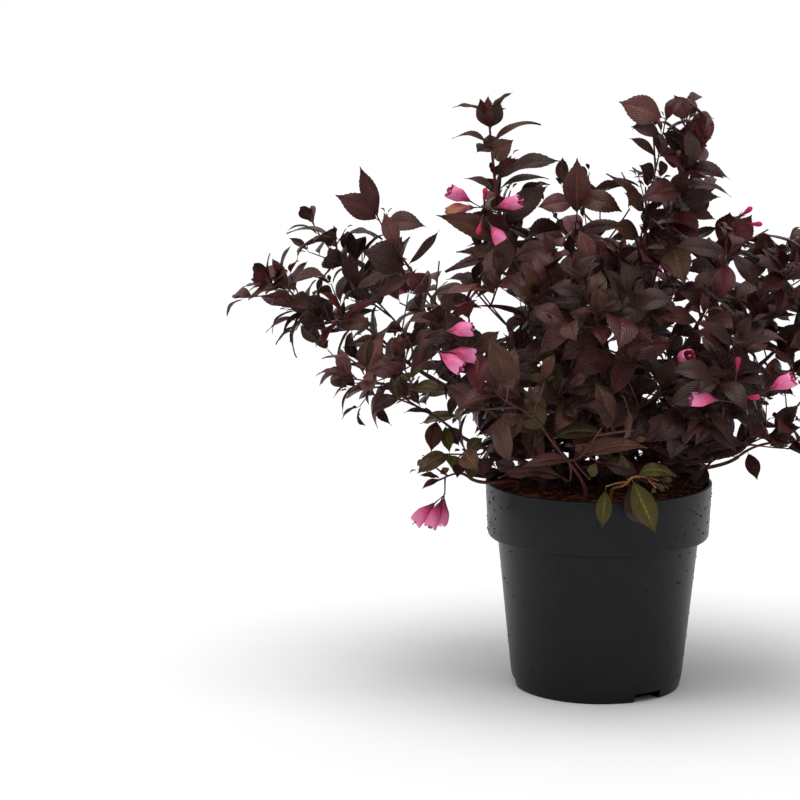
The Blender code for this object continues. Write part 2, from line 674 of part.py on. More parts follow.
def make_pot(parts, cutters):
    """The pot, with its notches, and the compost that fills it."""
    collar_foot = POT_HEIGHT - COLLAR_DROP
    body_top = collar_foot - STEP_DROP
    brim = POT_HEIGHT + CUTTER_EXCESS
    # The outside runs from the rim down the collar and the tapering body to the foot.
    outside = [
        (0, POT_HEIGHT),
        (RIM_RADIUS - RIM_EDGE, POT_HEIGHT),
        (RIM_RADIUS, POT_HEIGHT - RIM_EDGE),
        (COLLAR_FOOT_RADIUS, collar_foot),
        (COLLAR_FOOT_RADIUS - COLLAR_LIP, collar_foot - COLLAR_LIP),
        (BODY_RADIUS, body_top),
        (BASE_RADIUS, FOOT_RISE),
        (BASE_RADIUS - FOOT_ROUND, FOOT_RISE / 2),
        (FOOT_RADIUS, 0),
        (0, 0),
    ]
    # The inside is one wall's thickness in, and is cut from above the rim down to the floor.
    inside = [
        (0, brim),
        (RIM_RADIUS - WALL, brim),
        (COLLAR_FOOT_RADIUS - WALL, collar_foot),
        (BODY_RADIUS - WALL, body_top),
        (BASE_RADIUS - WALL, FOOT_RISE),
        (FOOT_RADIUS - WALL, FLOOR),
        (0, FLOOR),
    ]
    # The compost stays just inside that, up to its level top.
    share = (SOIL_TOP - collar_foot) / (brim - collar_foot)
    top_radius = inside[2][0] + share * (inside[1][0] - inside[2][0]) - GAP
    filling = [(0, SOIL_TOP), (top_radius, SOIL_TOP)]
    filling += [(radius - GAP, height) for radius, height in inside[2:5]]
    filling += [(FOOT_RADIUS - WALL - GAP, FLOOR + GAP), (0, FLOOR + GAP)]

    pot = turned_solid("pot", outside, parts)
    cavity = set_aside(turned_solid("cavity", inside, cutters))
    soil = turned_solid("soil", filling, parts)
    # Half a step of turn keeps the inner edges off the outer ones.
    for inner_piece in (cavity, soil):
        inner_piece.rotation_euler = (0, 0, math.pi / POT_SIDES)
    cut(pot, cavity)
    inner = FOOT_RADIUS - NOTCH_DEPTH
    for order, heading in enumerate(NOTCH_HEADINGS):
        # A raised pocket in the floor keeps the wall whole round each notch.
        width = NOTCH_WIDTH + 2 * WALL
        hood = block(f"hood_{order}", heading, inner - WALL, width, NOTCH_HEIGHT + WALL, cutters)
        cut(cavity, hood)
        room = (inner - WALL - GAP, width + 2 * GAP, NOTCH_HEIGHT + WALL + GAP)
        cut(soil, block(f"room_{order}", heading, *room, cutters))
        notch = block(f"notch_{order}", heading, inner, NOTCH_WIDTH, NOTCH_HEIGHT, cutters)
        cut(pot, notch)
    return pot, soil


def sealed(mesh):
    """Welds a mesh's caps and points its faces outward."""
    shape = bmesh.new()
    shape.from_mesh(mesh)
    bmesh.ops.remove_doubles(shape, verts=shape.verts, dist=CAP_WELD)
    bmesh.ops.recalc_face_normals(shape, faces=shape.faces)
    shape.to_mesh(mesh)
    shape.free()
    return mesh


def tube_mesh(name, path, section=None, resolution=0):
    """A closed mesh of a tapering limb, round unless `section` gives its cross-section."""
    curve = bpy.data.curves.new(name, "CURVE")
    curve.dimensions = "3D"
    spline = curve.splines.new("POLY")
    spline.points.add(len(path.points) - 1)
    for point, place, radius in zip(spline.points, path.points, path.radii):
        point.co = (*place, 1)
        point.radius = radius
    curve.use_fill_caps = True
    if section:
        curve.bevel_mode = "OBJECT"
        curve.bevel_object = section
    else:
        curve.bevel_depth = 1
        curve.bevel_resolution = resolution
    guide = bpy.data.objects.new(name, curve)
    bpy.context.scene.collection.objects.link(guide)
    graph = bpy.context.evaluated_depsgraph_get()
    mesh = bpy.data.meshes.new_from_object(guide.evaluated_get(graph))
    bpy.data.objects.remove(guide)
    bpy.data.curves.remove(curve)
    return sealed(mesh)


def twig_section(home):
    """The three-sided cross-section of the twigs."""
    curve = bpy.data.curves.new("twig_section", "CURVE")
    curve.dimensions = "2D"
    outline = curve.splines.new("POLY")
    outline.points.add(TWIG_SIDES - 1)
    for order, point in enumerate(outline.points):
        angle = 2 * math.pi * order / TWIG_SIDES
        x, y = math.cos(angle), math.sin(angle)
        point.co = (TWIG_THICKENING * x, TWIG_THICKENING * y, 0, 1)
    outline.use_cyclic_u = True
    return set_aside(mesh_object("twig_section", curve, home))


def leaf_mesh(leaf):
    """A closed leaf of six faces, folded across its widest part and keeled below."""
    mesh = bpy.data.meshes.new("leaf")
    mesh.from_pydata(leaf_corners(leaf, LEAF_KEEL), [], LEAF_FACES)
    return sealed(mesh)


def islands(shape):
    """The separate pieces of a mesh, each a set of faces that meet along edges."""
    left = set(shape.faces)
    found = []
    while left:
        piece = set()
        rim = [left.pop()]
        while rim:
            face = rim.pop()
            piece.add(face)
            near = {other for edge in face.edges for other in edge.link_faces}
            fresh = near & left
            left -= fresh
            rim.extend(fresh)
        found.append(piece)
    return found


def joined(name, meshes, home):
    """The union of several meshes that overlap, and whether it is closed."""
    pieces = collection(name + "_pieces")
    made = mesh_object(name, meshes[0], home)
    for mesh in meshes[1:]:
        mesh_object(name + "_piece", mesh, pieces)
    union = made.modifiers.new("Join", "BOOLEAN")
    union.operation = "UNION"
    union.operand_type = "COLLECTION"
    union.collection = pieces
    union.solver = "EXACT"
    graph = bpy.context.evaluated_depsgraph_get()
    mesh = bpy.data.meshes.new_from_object(made.evaluated_get(graph))
    made.modifiers.remove(union)
    made.data = mesh
    mesh.name = name
    for piece in list(pieces.objects):
        bpy.data.objects.remove(piece)
    bpy.data.collections.remove(pieces)

    shape = bmesh.new()
    shape.from_mesh(mesh)
    bmesh.ops.remove_doubles(shape, verts=shape.verts, dist=WELD)
    bmesh.ops.dissolve_degenerate(shape, edges=shape.edges, dist=WELD)
    for scrap in sorted(islands(shape), key=len)[:-1]:
        bmesh.ops.delete(shape, geom=list(scrap), context="FACES")
    bmesh.ops.triangulate(shape, faces=shape.faces)
    closed = all(len(edge.link_faces) == 2 for edge in shape.edges)
    shape.to_mesh(mesh)
    shape.free()
    return made, closed


def mass_solid(crown, name, section, home):
    """The solid of one mass: its shoot, twigs, flowers and leaves, fused together."""
    for attempt in range(JOIN_ATTEMPTS):
        # Where a union would leave an open seam, the leaves are moved by a hair and joined again.
        rng = chance(name, "nudge")
        meshes = [tube_mesh(name, crown.stems[name], section)]
        meshes += [tube_mesh("twig", twig, section) for twig in crown.twigs[name]]
        for flower in crown.flowers[name]:
            outline = section if flower.kind == "bud" else None
            meshes.append(tube_mesh("flower", flower_path(flower), outline))
        for leaf in crown.leaves[name]:
            moved = leaf._replace(origin=leaf.origin + shaken(rng, NUDGE * attempt))
            meshes.append(leaf_mesh(moved))
        made, closed = joined(name, meshes, home)
        if closed:
            return made
        bpy.data.objects.remove(made)
    raise RuntimeError("no closed union for " + name)


def main():
    for thing in list(bpy.data.objects):
        bpy.data.objects.remove(thing)
    parts = collection("weigela")
    cutters = collection("cutters")
    plastic = material("pot plastic", (0.013, 0.012, 0.014), 0.42)
    mulch = material("bark mulch", (0.070, 0.028, 0.014), 0.95)
    bark = material("bark", (0.075, 0.034, 0.024), 0.80)
    foliage = material("dark foliage", (0.045, 0.018, 0.019), 0.50)

    pot, soil = make_pot(parts, cutters)
    pot.data.materials.append(plastic)
    soil.data.materials.append(mulch)
    crown = Crown()
    crown.grow()
    for name, path in crown.boughs.items():
        limb = mesh_object(name, tube_mesh(name, path, resolution=LIMB_SIDES_STEP), parts)
        limb.data.materials.append(bark)
    section = twig_section(cutters)
    for name in MASSES:
        mass = mass_solid(crown, name, section, parts)
        mass.data.materials.clear()
        mass.data.materials.append(foliage)
    for made in parts.objects:
        made.data.shade_smooth()
        made.data.set_sharp_from_angle(angle=math.radians(35))


main()
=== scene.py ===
# %% [markdown]
# # A dark-leaved weigela in its nursery pot
#
# This lesson dresses a potted shrub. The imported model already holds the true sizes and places: a
# pot, the compost, eighteen stems, and thirty-eight leafy masses. A mesh could be sculpted by eye
# over the model, but a plant is a rule that is carried out many times. So the script grows it again
# by the same rule and random numbers, and carries the growth on to finer twigs and leaves.

import math
import random
from collections import namedtuple

import bpy
import numpy as np
from mathutils import Matrix, Vector, noise
from mathutils.bvhtree import BVHTree


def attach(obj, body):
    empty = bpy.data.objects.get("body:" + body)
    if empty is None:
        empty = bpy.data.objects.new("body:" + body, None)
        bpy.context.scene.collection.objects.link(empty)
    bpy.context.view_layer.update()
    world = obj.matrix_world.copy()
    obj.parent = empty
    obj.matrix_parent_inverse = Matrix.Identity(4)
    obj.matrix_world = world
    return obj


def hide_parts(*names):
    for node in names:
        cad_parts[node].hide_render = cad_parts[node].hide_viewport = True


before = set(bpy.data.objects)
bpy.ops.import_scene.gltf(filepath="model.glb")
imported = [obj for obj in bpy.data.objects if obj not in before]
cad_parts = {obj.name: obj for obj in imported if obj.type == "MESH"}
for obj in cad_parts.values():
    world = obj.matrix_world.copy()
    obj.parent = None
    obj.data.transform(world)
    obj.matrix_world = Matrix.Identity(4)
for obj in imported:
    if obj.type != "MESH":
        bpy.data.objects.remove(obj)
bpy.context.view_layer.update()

# %% [markdown]
# ## The camera
#
# The ellipses of the pot's rim and foot, and its real size, fix where the photographer stood: 2.4 m
# away and looking 9 degrees down. A camera could be placed by trial, but worked out from the pot it
# is right at once. The lens is long, so it is given in pixels of the 800-pixel frame.

# %% Place the camera
FRAME_PIXELS = 800
FOCAL_PIXELS = 2430.25
CAMERA_PLACE = (0, -2.4, 0.66754)
CAMERA_TURN = 0.08293
CAMERA_DIP = 0.156833
SENSOR = 36


def linked(name, data):
    """A new object in the scene with the given camera, mesh or lamp."""
    thing = bpy.data.objects.new(name, data)
    bpy.context.scene.collection.objects.link(thing)
    return thing


camera_data = bpy.data.cameras.new("camera")
camera_data.sensor_width = SENSOR
camera_data.lens = FOCAL_PIXELS * SENSOR / FRAME_PIXELS
camera = linked("camera", camera_data)
camera.location = CAMERA_PLACE
camera.rotation_euler = (math.pi / 2 - CAMERA_DIP, 0, CAMERA_TURN)
bpy.context.scene.camera = camera
print("Lens, mm:", round(camera_data.lens, 1))

# %% [markdown]
# ## The named sizes of the plant
#
# Many stems rise from the foot of such a shrub, and each ends in leafy shoots. They could be
# measured as long rows of points. Instead, a stem has a foot, a tip and a few numbers for how it
# bows, and a leafy mass has the stem that bears it and the tip that it grows towards. The solids
# were made from the same values.

# %% Sizes of the pot and the compost
UP = Vector((0, 0, 1))
SEED = "weigela"
POT_HEIGHT = 0.208
RIM_RADIUS = 0.113
COLLAR_FOOT_RADIUS = 0.1105
COLLAR_DROP = 0.050
STEP_DROP = 0.009
BODY_RADIUS = 0.1005
BASE_RADIUS = 0.0862
FOOT_RADIUS = 0.0835
FOOT_RISE = 0.012
WALL = 0.0022
FLOOR = 0.003
NOTCH_HEADINGS = (-52.5, 67.5, 187.5)
NOTCH_WIDTH = 0.032
NOTCH_HEIGHT = 0.009
NOTCH_DEPTH = 0.016
SOIL_TOP = POT_HEIGHT - 0.004
RIM_CLEARANCE = 0.0015
print("Pot height, mm:", 1000 * POT_HEIGHT)

# %% The stems and their leafy masses
# Places are in millimetres. A stem rises from its foot (x, y) on the compost to its tip (x, y, z).
# Its bow is how far it climbs before it spreads, as a share of its length, and the last number is
# its radius above the root flare, in tenths of a millimetre.
# Under it, after a dash, come the leafy masses that it bears. A mass is a shoot that leaves its stem
# at a share of the way along it (1 is its tip) and ends at its own tip (x, y, z). Then come the
# length of its longest side twigs, their number, the scale of its leaves, and how its end turns from
# straight on (0) towards the sky (1) or down (-1). The last three are only for the drawn plant: how
# much of its first leaves and of its finer growth is kept, where 1 is all, and its list of colours.
def rows_of(table):
    """The rows of a written table, each one split into its words."""
    return [row.split() for row in table.strip().splitlines()]


def metres(words):
    """Written millimetres in metres."""
    return tuple(int(word) / 1000 for word in words)


Bough = namedtuple("Bough", "foot tip bow foot_radius")
Mass = namedtuple("Mass", "bough along tip reach twigs size lift keep fill colours")
BOUGHS = {}
MASSES = {}
for first, *words in rows_of("""
stem_left_spire -20 4 -85 -20 423 0.3 40
- left_spire 1 -112 -10 572 42 3 0.8 0.5 0.2 0.05 dark
- left_inner 0.62 -120 -75 412 60 3 0.95 0.3 1 0.45 dark
stem_middle -6 20 -28 30 401 0.2 34
- middle 1 -24 15 485 60 3 1.05 0.5 0.45 0.3 dark
- centre_left 0.6 -62 -85 402 65 3 1 0.2 1 0.72 warm
stem_right_spire 14 4 50 0 400 0.25 44
- right_spire 1 84 0 570 55 4 0.95 0.5 0.7 0.6 dark
- right_crest 0.93 40 -22 556 45 3 0.95 0.6 0.5 0.4 dark
- centre_top 0.62 16 -40 440 65 3 1 0.3 1 0.72 dark
stem_right 30 -14 99 -30 379 0.3 36
- right_shoulder 1 130 -40 462 55 3 1 0.3 1 0.72 dark
- right_flowers 0.45 125 -145 338 65 3 1 0.1 1 1 night
stem_far_right 42 6 173 10 340 0.3 40
- right_top 0.8 186 50 448 60 3 0.95 0.4 1 0.72 dark
- far_right 1 262 -4 424 60 3 1 0.3 1 1 dark
- far_right_low 0.92 285 -60 335 60 2 1 0 1 1 night
branch_low_right 62 -8 138 -10 236 0.18 26
- low_right 1 250 0 246 45 3 0.85 0 0.5 0.2 night
- right_low 0.65 185 -90 286 60 3 0.9 0.1 1 1 night
stem_left -36 -12 -155 -40 381 0.32 36
- left_shoot 1 -226 -32 488 40 2 0.9 0.4 0.2 0.1 dark
- left_flowers 0.6 -134 -140 367 55 3 0.9 0.1 1 0.5 dark
stem_far_left -46 8 -212 0 342 0.26 38
- far_left_end 1 -335 -10 405 50 3 0.85 0.2 1 0.72 dark
- far_left_top 0.88 -292 30 465 50 3 0.85 0.4 1 0.72 dark
- far_left_low 0.72 -250 -65 318 50 3 0.85 0 1 0.72 dark
branch_low_left -54 -30 -141 -50 264 0.26 26
- low_left 1 -190 -66 300 50 3 0.8 0.1 0.6 0.35 shaded
- low_left_green 0.7 -165 -95 246 40 2 0.8 -0.2 0.2 0.1 greened
twig_low_left -78 -40 -126 -56 219 0.16 20
- hanging_flowers 1 -166 -66 214 22 1 0.55 -0.1 0 0 dark
stem_front_left -12 -86 -51 -120 277 0.2 28
- front_left 1 -98 -170 324 45 3 1.1 0.2 0.3 0.15 bronzed
- front_mid 0.55 4 -170 292 50 3 1.1 0.1 0.25 0.1 browned
twig_front_right 12 -90 28 -125 231 0.3 20
- front_hanging 1 56 -142 236 28 2 0.85 -0.4 0 0 greened
stem_centre 4 -24 4 -50 322 0.2 34
- centre_front 1 -2 -135 387 65 3 1 0.2 1 0.72 mixed
- centre_low 0.5 -45 -110 318 55 3 0.95 0.1 1 0.72 shaded
- centre_right 0.62 62 -120 318 60 3 1 0.1 1 0.72 night
stem_back_left -26 30 -62 72 350 0.28 36
- back_left 1 -90 130 442 70 3 1 0.3 1 0.72 dark
- back_low_left 0.55 -135 205 262 60 3 0.95 0 1 0.72 shaded
stem_back_far_left -46 32 -134 85 327 0.28 32
- back_far_left 1 -205 145 395 65 3 0.95 0.2 1 0.72 dark
stem_back_mid 4 42 -1 95 371 0.28 36
- back_crest 1 -2 130 474 65 3 1 0.4 1 0.72 dark
- back_mid 0.8 45 215 375 65 2 1 0.2 1 0.72 dark
- back_low 0.5 0 240 270 60 2 1 0 1 0.72 shaded
stem_back_left
- back_flank 0.82 -60 205 360 60 3 1 0.2 1 0.72 dark
stem_back_right 26 30 65 70 362 0.28 36
- back_right 1 90 120 460 65 3 1 0.4 1 0.72 dark
- back_low_right 0.55 138 205 262 60 3 0.95 0 1 0.72 shaded
stem_back_far_right 46 30 127 85 335 0.28 32
- back_far_right 1 200 140 405 65 3 0.95 0.2 1 0.72 dark
"""):
    if first != "-":
        bough = first
        if words:
            *places, bow, radius = words
            tip = metres(places[2:])
            BOUGHS[bough] = Bough(metres(places[:2]), tip, float(bow), int(radius) / 10000)
        continue
    name, along, *places, twigs, size, lift, keep, fill, colours = words
    *tip, reach = metres(places)
    sizes = map(float, (size, lift, keep, fill))
    MASSES["foliage_" + name] = Mass(bough, float(along), tip, reach, int(twigs), *sizes, colours)
print("Stems:", len(BOUGHS), "masses:", len(MASSES))

# %% The trusses of blossom
# A truss of blossom leaves the main shoot of its mass at a share of the way along it, on a stalk that
# ends at (x, y, z). Each flower there has a direction, the length of its own stalk and its kind.
TRUSSES = []
for row in """
left_spire 0.36 -119 -35 484 / -0.8 -0.4 0.5 12 open / -1 -0.35 0 9 faded / 0.05 -0.2 1 5 bud
left_spire 0.42 -104 -45 483 / 0.9 -0.3 0.35 4 open
left_spire 0.26 -115 -55 477 / -0.2 -0.3 -0.9 4 bud / 0.55 -0.5 -0.7 12 open
left_flowers 0.9 -147 -150 376 / 1 -0.2 0.15 5 open
left_flowers 0.82 -153 -155 358 / 0.85 -0.35 -0.45 5 open / 0.95 0.1 -0.1 9 open
right_flowers 0.86 125 -160 314 / -1 -0.2 0.15 17 open / 0.08 -0.15 1 26 bud / 0.9 -0.5 0.1 13 bud
right_flowers 0.95 144 -152 318 / 0.8 -0.3 0.5 17 open
right_shoulder 0.97 125 -50 472 / 0.75 -0.2 0.6 8 bud / 1 -0.3 0 13 bud
hanging_flowers 0.6 -150 -66 204 / -0.75 -0.2 -0.65 14 open / -0.4 -0.35 -0.9 11 open / -0.12 0.15 -1 9 open
centre_right 0.85 72 -95 341 / 0.3 -0.6 0.3 5 open
right_low 0.45 125 -62 252 / 0.2 -0.5 0.5 6 bud
far_right 0.6 240 -35 410 / 0.5 -0.8 0.2 6 open / 0.9 -0.2 0.5 6 bud
back_left 0.65 -98 130 424 / -0.7 0.6 0.2 6 open / 0.1 0.9 0.1 6 faded
back_mid 0.7 40 205 396 / 0.7 0.6 0.2 6 open / -0.5 0.8 0.3 6 open
back_low 0.75 6 210 262 / 0.1 0.9 -0.3 6 open
back_far_right 0.7 200 135 382 / 0.8 0.5 -0.1 6 open / 0.6 -0.3 0.6 6 bud
back_far_left 0.75 -200 150 378 / -0.8 0.5 0.1 6 open / -0.3 0.9 0.4 6 bud
""".strip().splitlines():
    (name, along, *fork), *heads = map(str.split, row.split("/"))
    heads = [(tuple(map(float, way)), int(length) / 1000, kind) for *way, length, kind in heads]
    TRUSSES.append(("foliage_" + name, float(along), metres(fork), heads))
print("Trusses:", len(TRUSSES))

# %% Sizes that the growth follows
GAP = 0.0003
CLEARANCE = 0.0006

# Stems and shoots
FLARE = 1.55
COLLAR_FLARE = 1.22
FLARE_HEIGHT = 0.012
STEM_TIP_RADIUS = 0.0017
SIDE_STEM_RADIUS = 0.0015
SHOOT_TIP_RADIUS = 0.0008
BOUGH_END_RISE = 0.8
HANDLE = 0.35
SIDE_HANDLE = 0.18
STUB = 0.003
LIMB_POINTS = 6
STEM_POINTS = 5
SWAY = 0.006
SIDE_TURN = 12
LIMB_ATTEMPTS = 14

# Side twigs: where they leave the shoot, at what angles in degrees, and how they bend
TWIG_RADIUS = 0.0011
TWIG_POINTS = 3
TWIG_ZONE = (0.20, 0.86)
TWIG_SCATTER = 0.03
TWIG_SPREAD = (42, 62)
TWIG_TWIST = 55
TWIG_LIFT = 0.12
TWIG_BEND = (-0.10, 0.16)
TWIG_ATTEMPTS = 5

# Leaves: their size, where they leave the shoot, and how they lean, droop and arch
LEAF_LENGTH = 0.066
LEAF_WIDTH = 0.50
LEAF_WIDEST = 0.45
LEAF_KEEL = 0.0020
LEAF_SINK = 0.0005
LEAF_MARGIN = 1.03
INTERNODE = 0.048
LEAF_ZONE = (0.18, 0.92)
CREST = 0.975
CREST_SIZE = 1.05
TWIG_LEAF = 0.55
TWIG_TIP_LEAF = 0.985
TWIG_TIP_SIZE = 1.4
LEAF_SPREAD = (58, 78)
TIP_NARROWING = 34
LEAF_TWIST = 18
LEAF_DROOP = 0.30
LEAF_TILT = 0.35
LEAF_BEND = (0.08, 0.26)
STAGGER = 0.0028
LEAF_ATTEMPTS = 5
ASTRAY = 0.010

# Blossom: half-open funnels and slender buds on short stalks
FLOWER_LENGTH = 0.028
FLOWER_MOUTH = 0.0068
BUD_LENGTH = 0.016
BUD_RADIUS = 0.0024
STALK_RADIUS = 0.0011
PEDICEL_RADIUS = 0.0009
PEDICEL_ROOT = 0.0006
FLOWER_STEP = 0.12

# %% [markdown]
# ## How the shrub grows
#
# A stem is a smooth curve from the compost to its tip. A shoot leaves its stem square to it, as buds
# do, and then turns towards its own tip. Their points could be drawn at random in one go, but then a
# change to one would shuffle all. So random numbers are keyed by a limb's own name. Each curve is
# worked out with a few points for the tests of what touches what, and again with many to be drawn.

# %% Random numbers and turns
def chance(*names):
    """Random numbers that are always the same for the same names."""
    return random.Random(" ".join([SEED, *map(str, names)]))


def shaken(rng, reach):
    """A random offset of up to `reach` each way."""
    return Vector([rng.uniform(-reach, reach) for _ in range(3)])


def square_to(axis, hint):
    """Unit vector square to `axis`, as near to `hint` as it can be."""
    side = hint - axis * hint.dot(axis)
    if side.length < 1e-4:
        side = axis.orthogonal()
    return side.normalized()


def turned(vector, axis, degrees):
    """`vector` turned about `axis`."""
    return Matrix.Rotation(math.radians(degrees), 3, axis) @ vector


def level_side(axis):
    """Unit vector square to `axis` that lies level."""
    return square_to(axis, UP.cross(axis) + Vector((0.01, 0, 0)))


print("First draw:", round(chance("test").random(), 3))

# %% Points on curves and paths
Path = namedtuple("Path", "points radii")
Leaf = namedtuple("Leaf", "origin along normal length width bend")


def bezier(a, b, c, d, share):
    """Point on a cubic Bezier curve."""
    rest = 1 - share
    return rest**3 * a + 3 * rest**2 * share * b + 3 * rest * share**2 * c + share**3 * d


def even_shares(count):
    """Shares of the way from 0 to 1 in even steps."""
    return [step / (count - 1) for step in range(count)]


def narrowing(root, tip, shares):
    """Radii that narrow evenly from `root` to `tip`."""
    return [root * (1 - share) + tip * share for share in shares]


def path_length(path):
    """Length of a path along its points."""
    return sum((end - start).length for start, end in zip(path.points, path.points[1:]))


def point_on(path, share):
    """Point, direction and radius at `share` of the way along a path."""
    left = path_length(path) * min(max(share, 0), 1)
    last = len(path.points) - 2
    for step in range(last + 1):
        start, end = path.points[step], path.points[step + 1]
        stretch = (end - start).length
        if left <= stretch or step == last:
            break
        left -= stretch
    part = min(left / stretch, 1)
    radius = path.radii[step] * (1 - part) + path.radii[step + 1] * part
    return start.lerp(end, part), (end - start).normalized(), radius

# %% The path of a stem
def bough_path(name, attempt, count=LIMB_POINTS):
    """A stem from its flat cut on the compost, over the root flare, to its tip."""
    bough = BOUGHS[name]
    rng = chance(name, attempt)
    cut = Vector((*bough.foot, SOIL_TOP + GAP))
    start = cut + UP * FLARE_HEIGHT / 2
    tip = Vector(bough.tip)
    span = (tip - start).length
    outward = Vector((tip.x - start.x, tip.y - start.y, span * BOUGH_END_RISE)).normalized()
    climb = start + UP * span * bough.bow + shaken(rng, attempt * SWAY)
    turn = tip - outward * span * HANDLE + shaken(rng, attempt * SWAY)
    shares = even_shares(count)
    radii = narrowing(bough.foot_radius, STEM_TIP_RADIUS, shares)
    radii[0] *= COLLAR_FLARE
    curve = [bezier(start, climb, turn, tip, share) for share in shares]
    return Path([cut, *curve], [bough.foot_radius * FLARE, *radii])

# %% The path of a main shoot
def stem_path(name, bough, attempt, count=STEM_POINTS):
    """The main shoot of a mass, from its stem to its own tip."""
    mass = MASSES[name]
    rng = chance(name, attempt)
    end = Vector(mass.tip)
    joint, axis, bough_radius = point_on(bough, mass.along)
    if mass.along == 1:
        way = axis
        start = joint + axis * GAP
        radius = STEM_TIP_RADIUS
        handle = HANDLE
    else:
        turn = rng.uniform(-SIDE_TURN, SIDE_TURN) * attempt
        way = square_to(axis, turned(end - joint, axis, turn))
        start = joint + way * (bough_radius + GAP)
        radius = SIDE_STEM_RADIUS
        handle = SIDE_HANDLE
    span = (end - start).length
    finish = ((end - start).normalized() + UP * mass.lift).normalized()
    leave = start + way * (STUB + span * handle)
    arrive = end - finish * span * HANDLE + shaken(rng, attempt * SWAY)
    shares = even_shares(count)
    curve = [bezier(start + way * STUB, leave, arrive, end, share) for share in shares]
    return Path([start, *curve], [radius, *narrowing(radius, SHOOT_TIP_RADIUS, shares)])

# %% The path of a side twig
def twig_way(axis, radial, spread, lift):
    """The direction of a twig that stands off its parent by `spread` degrees and lifts a little."""
    spread = math.radians(spread)
    way = axis * math.cos(spread) + radial * math.sin(spread)
    return (way + UP * lift).normalized()


def bent_points(start, way, length, bend, count):
    """Points of a twig that bends more and more, and the share of the way at each."""
    shares = even_shares(count)
    return [start + way * length * share + bend * share**2 for share in shares], shares


def side_twig(name, stem, order, attempt, count=TWIG_POINTS):
    """A side twig in the axil of a leaf of the main shoot."""
    mass = MASSES[name]
    rng = chance(name, "twig", order, attempt)
    first, last = TWIG_ZONE
    share = first + (last - first) * (order + 0.5) / mass.twigs
    share += rng.uniform(-TWIG_SCATTER, TWIG_SCATTER)
    start, axis, _ = point_on(stem, share)
    twist = rng.uniform(-TWIG_TWIST, TWIG_TWIST) * (1 + 0.5 * attempt)
    radial = turned(level_side(axis), axis, 180 * (order % 2) + twist)
    way = twig_way(axis, radial, rng.uniform(*TWIG_SPREAD), TWIG_LIFT + HANDLE * mass.lift)
    length = mass.reach * (1.1 - 0.45 * share) * rng.uniform(0.85, 1.15) * (1 - 0.12 * attempt)
    points, shares = bent_points(start, way, length, UP * length * rng.uniform(*TWIG_BEND), count)
    return Path(points, narrowing(TWIG_RADIUS, SHOOT_TIP_RADIUS, shares))

# %% [markdown]
# ## Leaves that keep clear of each other
#
# Weigela bears its leaves in pairs, each pair crossed over the last. Left to chance they would cut
# through stems and each other. So every leaf is tried in up to five positions, as a folded shape of
# five corners, and the first one that is free is kept. Blender's search trees make that quick.

# %% One leaf on a shoot
def leaf_on(name, shoot, share, bearing, size, key, attempt):
    """One leaf that leaves a shoot at `share`, `bearing` degrees round from level."""
    rng = chance(name, key, attempt)
    joint, axis, _ = point_on(shoot, share)
    twist = rng.uniform(-LEAF_TWIST, LEAF_TWIST) * (1 + attempt)
    radial = turned(level_side(axis), axis, bearing + twist)
    # Leaves of a sloping shoot turn to lie level.
    radial.z *= 0.55 + 0.45 * abs(axis.z)
    spread = math.radians(rng.uniform(*LEAF_SPREAD) - TIP_NARROWING * max(share - 0.6, 0) / 0.4)
    way = axis * math.cos(spread) + radial.normalized() * math.sin(spread)
    way = (way - UP * rng.uniform(0, LEAF_DROOP) * (1.2 - share)).normalized()
    facing = UP * 0.8 + axis * 0.5 + shaken(rng, LEAF_TILT)
    # The longest leaves are at the middle of a shoot, and the shortest at its tip.
    profile = 1 - (0.8 if share < 0.5 else 2.0) * (share - 0.5) ** 2
    length = LEAF_LENGTH * MASSES[name].size * size * profile * rng.uniform(0.88, 1.10)
    width = length * LEAF_WIDTH * rng.uniform(0.92, 1.08)
    return Leaf(joint, way, square_to(way, facing), length, width, rng.uniform(*LEAF_BEND))


def leaf_corners(leaf, keel):
    """A leaf's root, its two widest points, its tip and the keel of its midrib."""
    side = leaf.along.cross(leaf.normal)
    arch = leaf.length * leaf.bend
    root = leaf.origin - leaf.along * LEAF_SINK
    middle = leaf.origin + leaf.along * leaf.length * LEAF_WIDEST + leaf.normal * arch * 0.3
    tip = leaf.origin + leaf.along * leaf.length - leaf.normal * arch
    margin = side * leaf.width / 2
    return [root, middle + margin, middle - margin, tip, middle - leaf.normal * keel]

# %% Simple shapes for the tests
LEAF_FACES = ((0, 1, 2), (1, 3, 2), (0, 4, 1), (0, 2, 4), (1, 4, 3), (4, 2, 3))


def leaf_shape(leaf, rooted=True):
    """Corners and faces of a leaf, a little larger than it is, with or without its root."""
    corners = leaf_corners(leaf, LEAF_KEEL + 3 * CLEARANCE)
    if not rooted:
        corners[0] = corners[0].lerp(corners[3], 0.25)
    centre = (corners[1] + corners[2]) / 2
    rise = leaf.normal * CLEARANCE
    return [centre + (corner - centre) * LEAF_MARGIN + rise for corner in corners], LEAF_FACES


def blade_tree(leaf):
    """Search tree over a leaf without its root."""
    return tree_of([leaf_shape(leaf, rooted=False)])


def sleeve_shape(path, extra, sides=6):
    """Corners and faces of an open sleeve round a path, `extra` clear of its surface."""
    corners = []
    faces = []
    for step, (point, radius) in enumerate(zip(path.points, path.radii)):
        before = path.points[max(step - 1, 0)]
        after = path.points[min(step + 1, len(path.points) - 1)]
        axis = (after - before).normalized()
        side = level_side(axis)
        reach = (radius + extra) / math.cos(math.pi / sides)
        for turn in range(sides):
            corners.append(point + turned(side, axis, 360 * turn / sides) * reach)
    for step in range(len(path.points) - 1):
        for turn in range(sides):
            near, far = step * sides + turn, step * sides + (turn + 1) % sides
            faces.append((near, far, far + sides, near + sides))
    return corners, faces


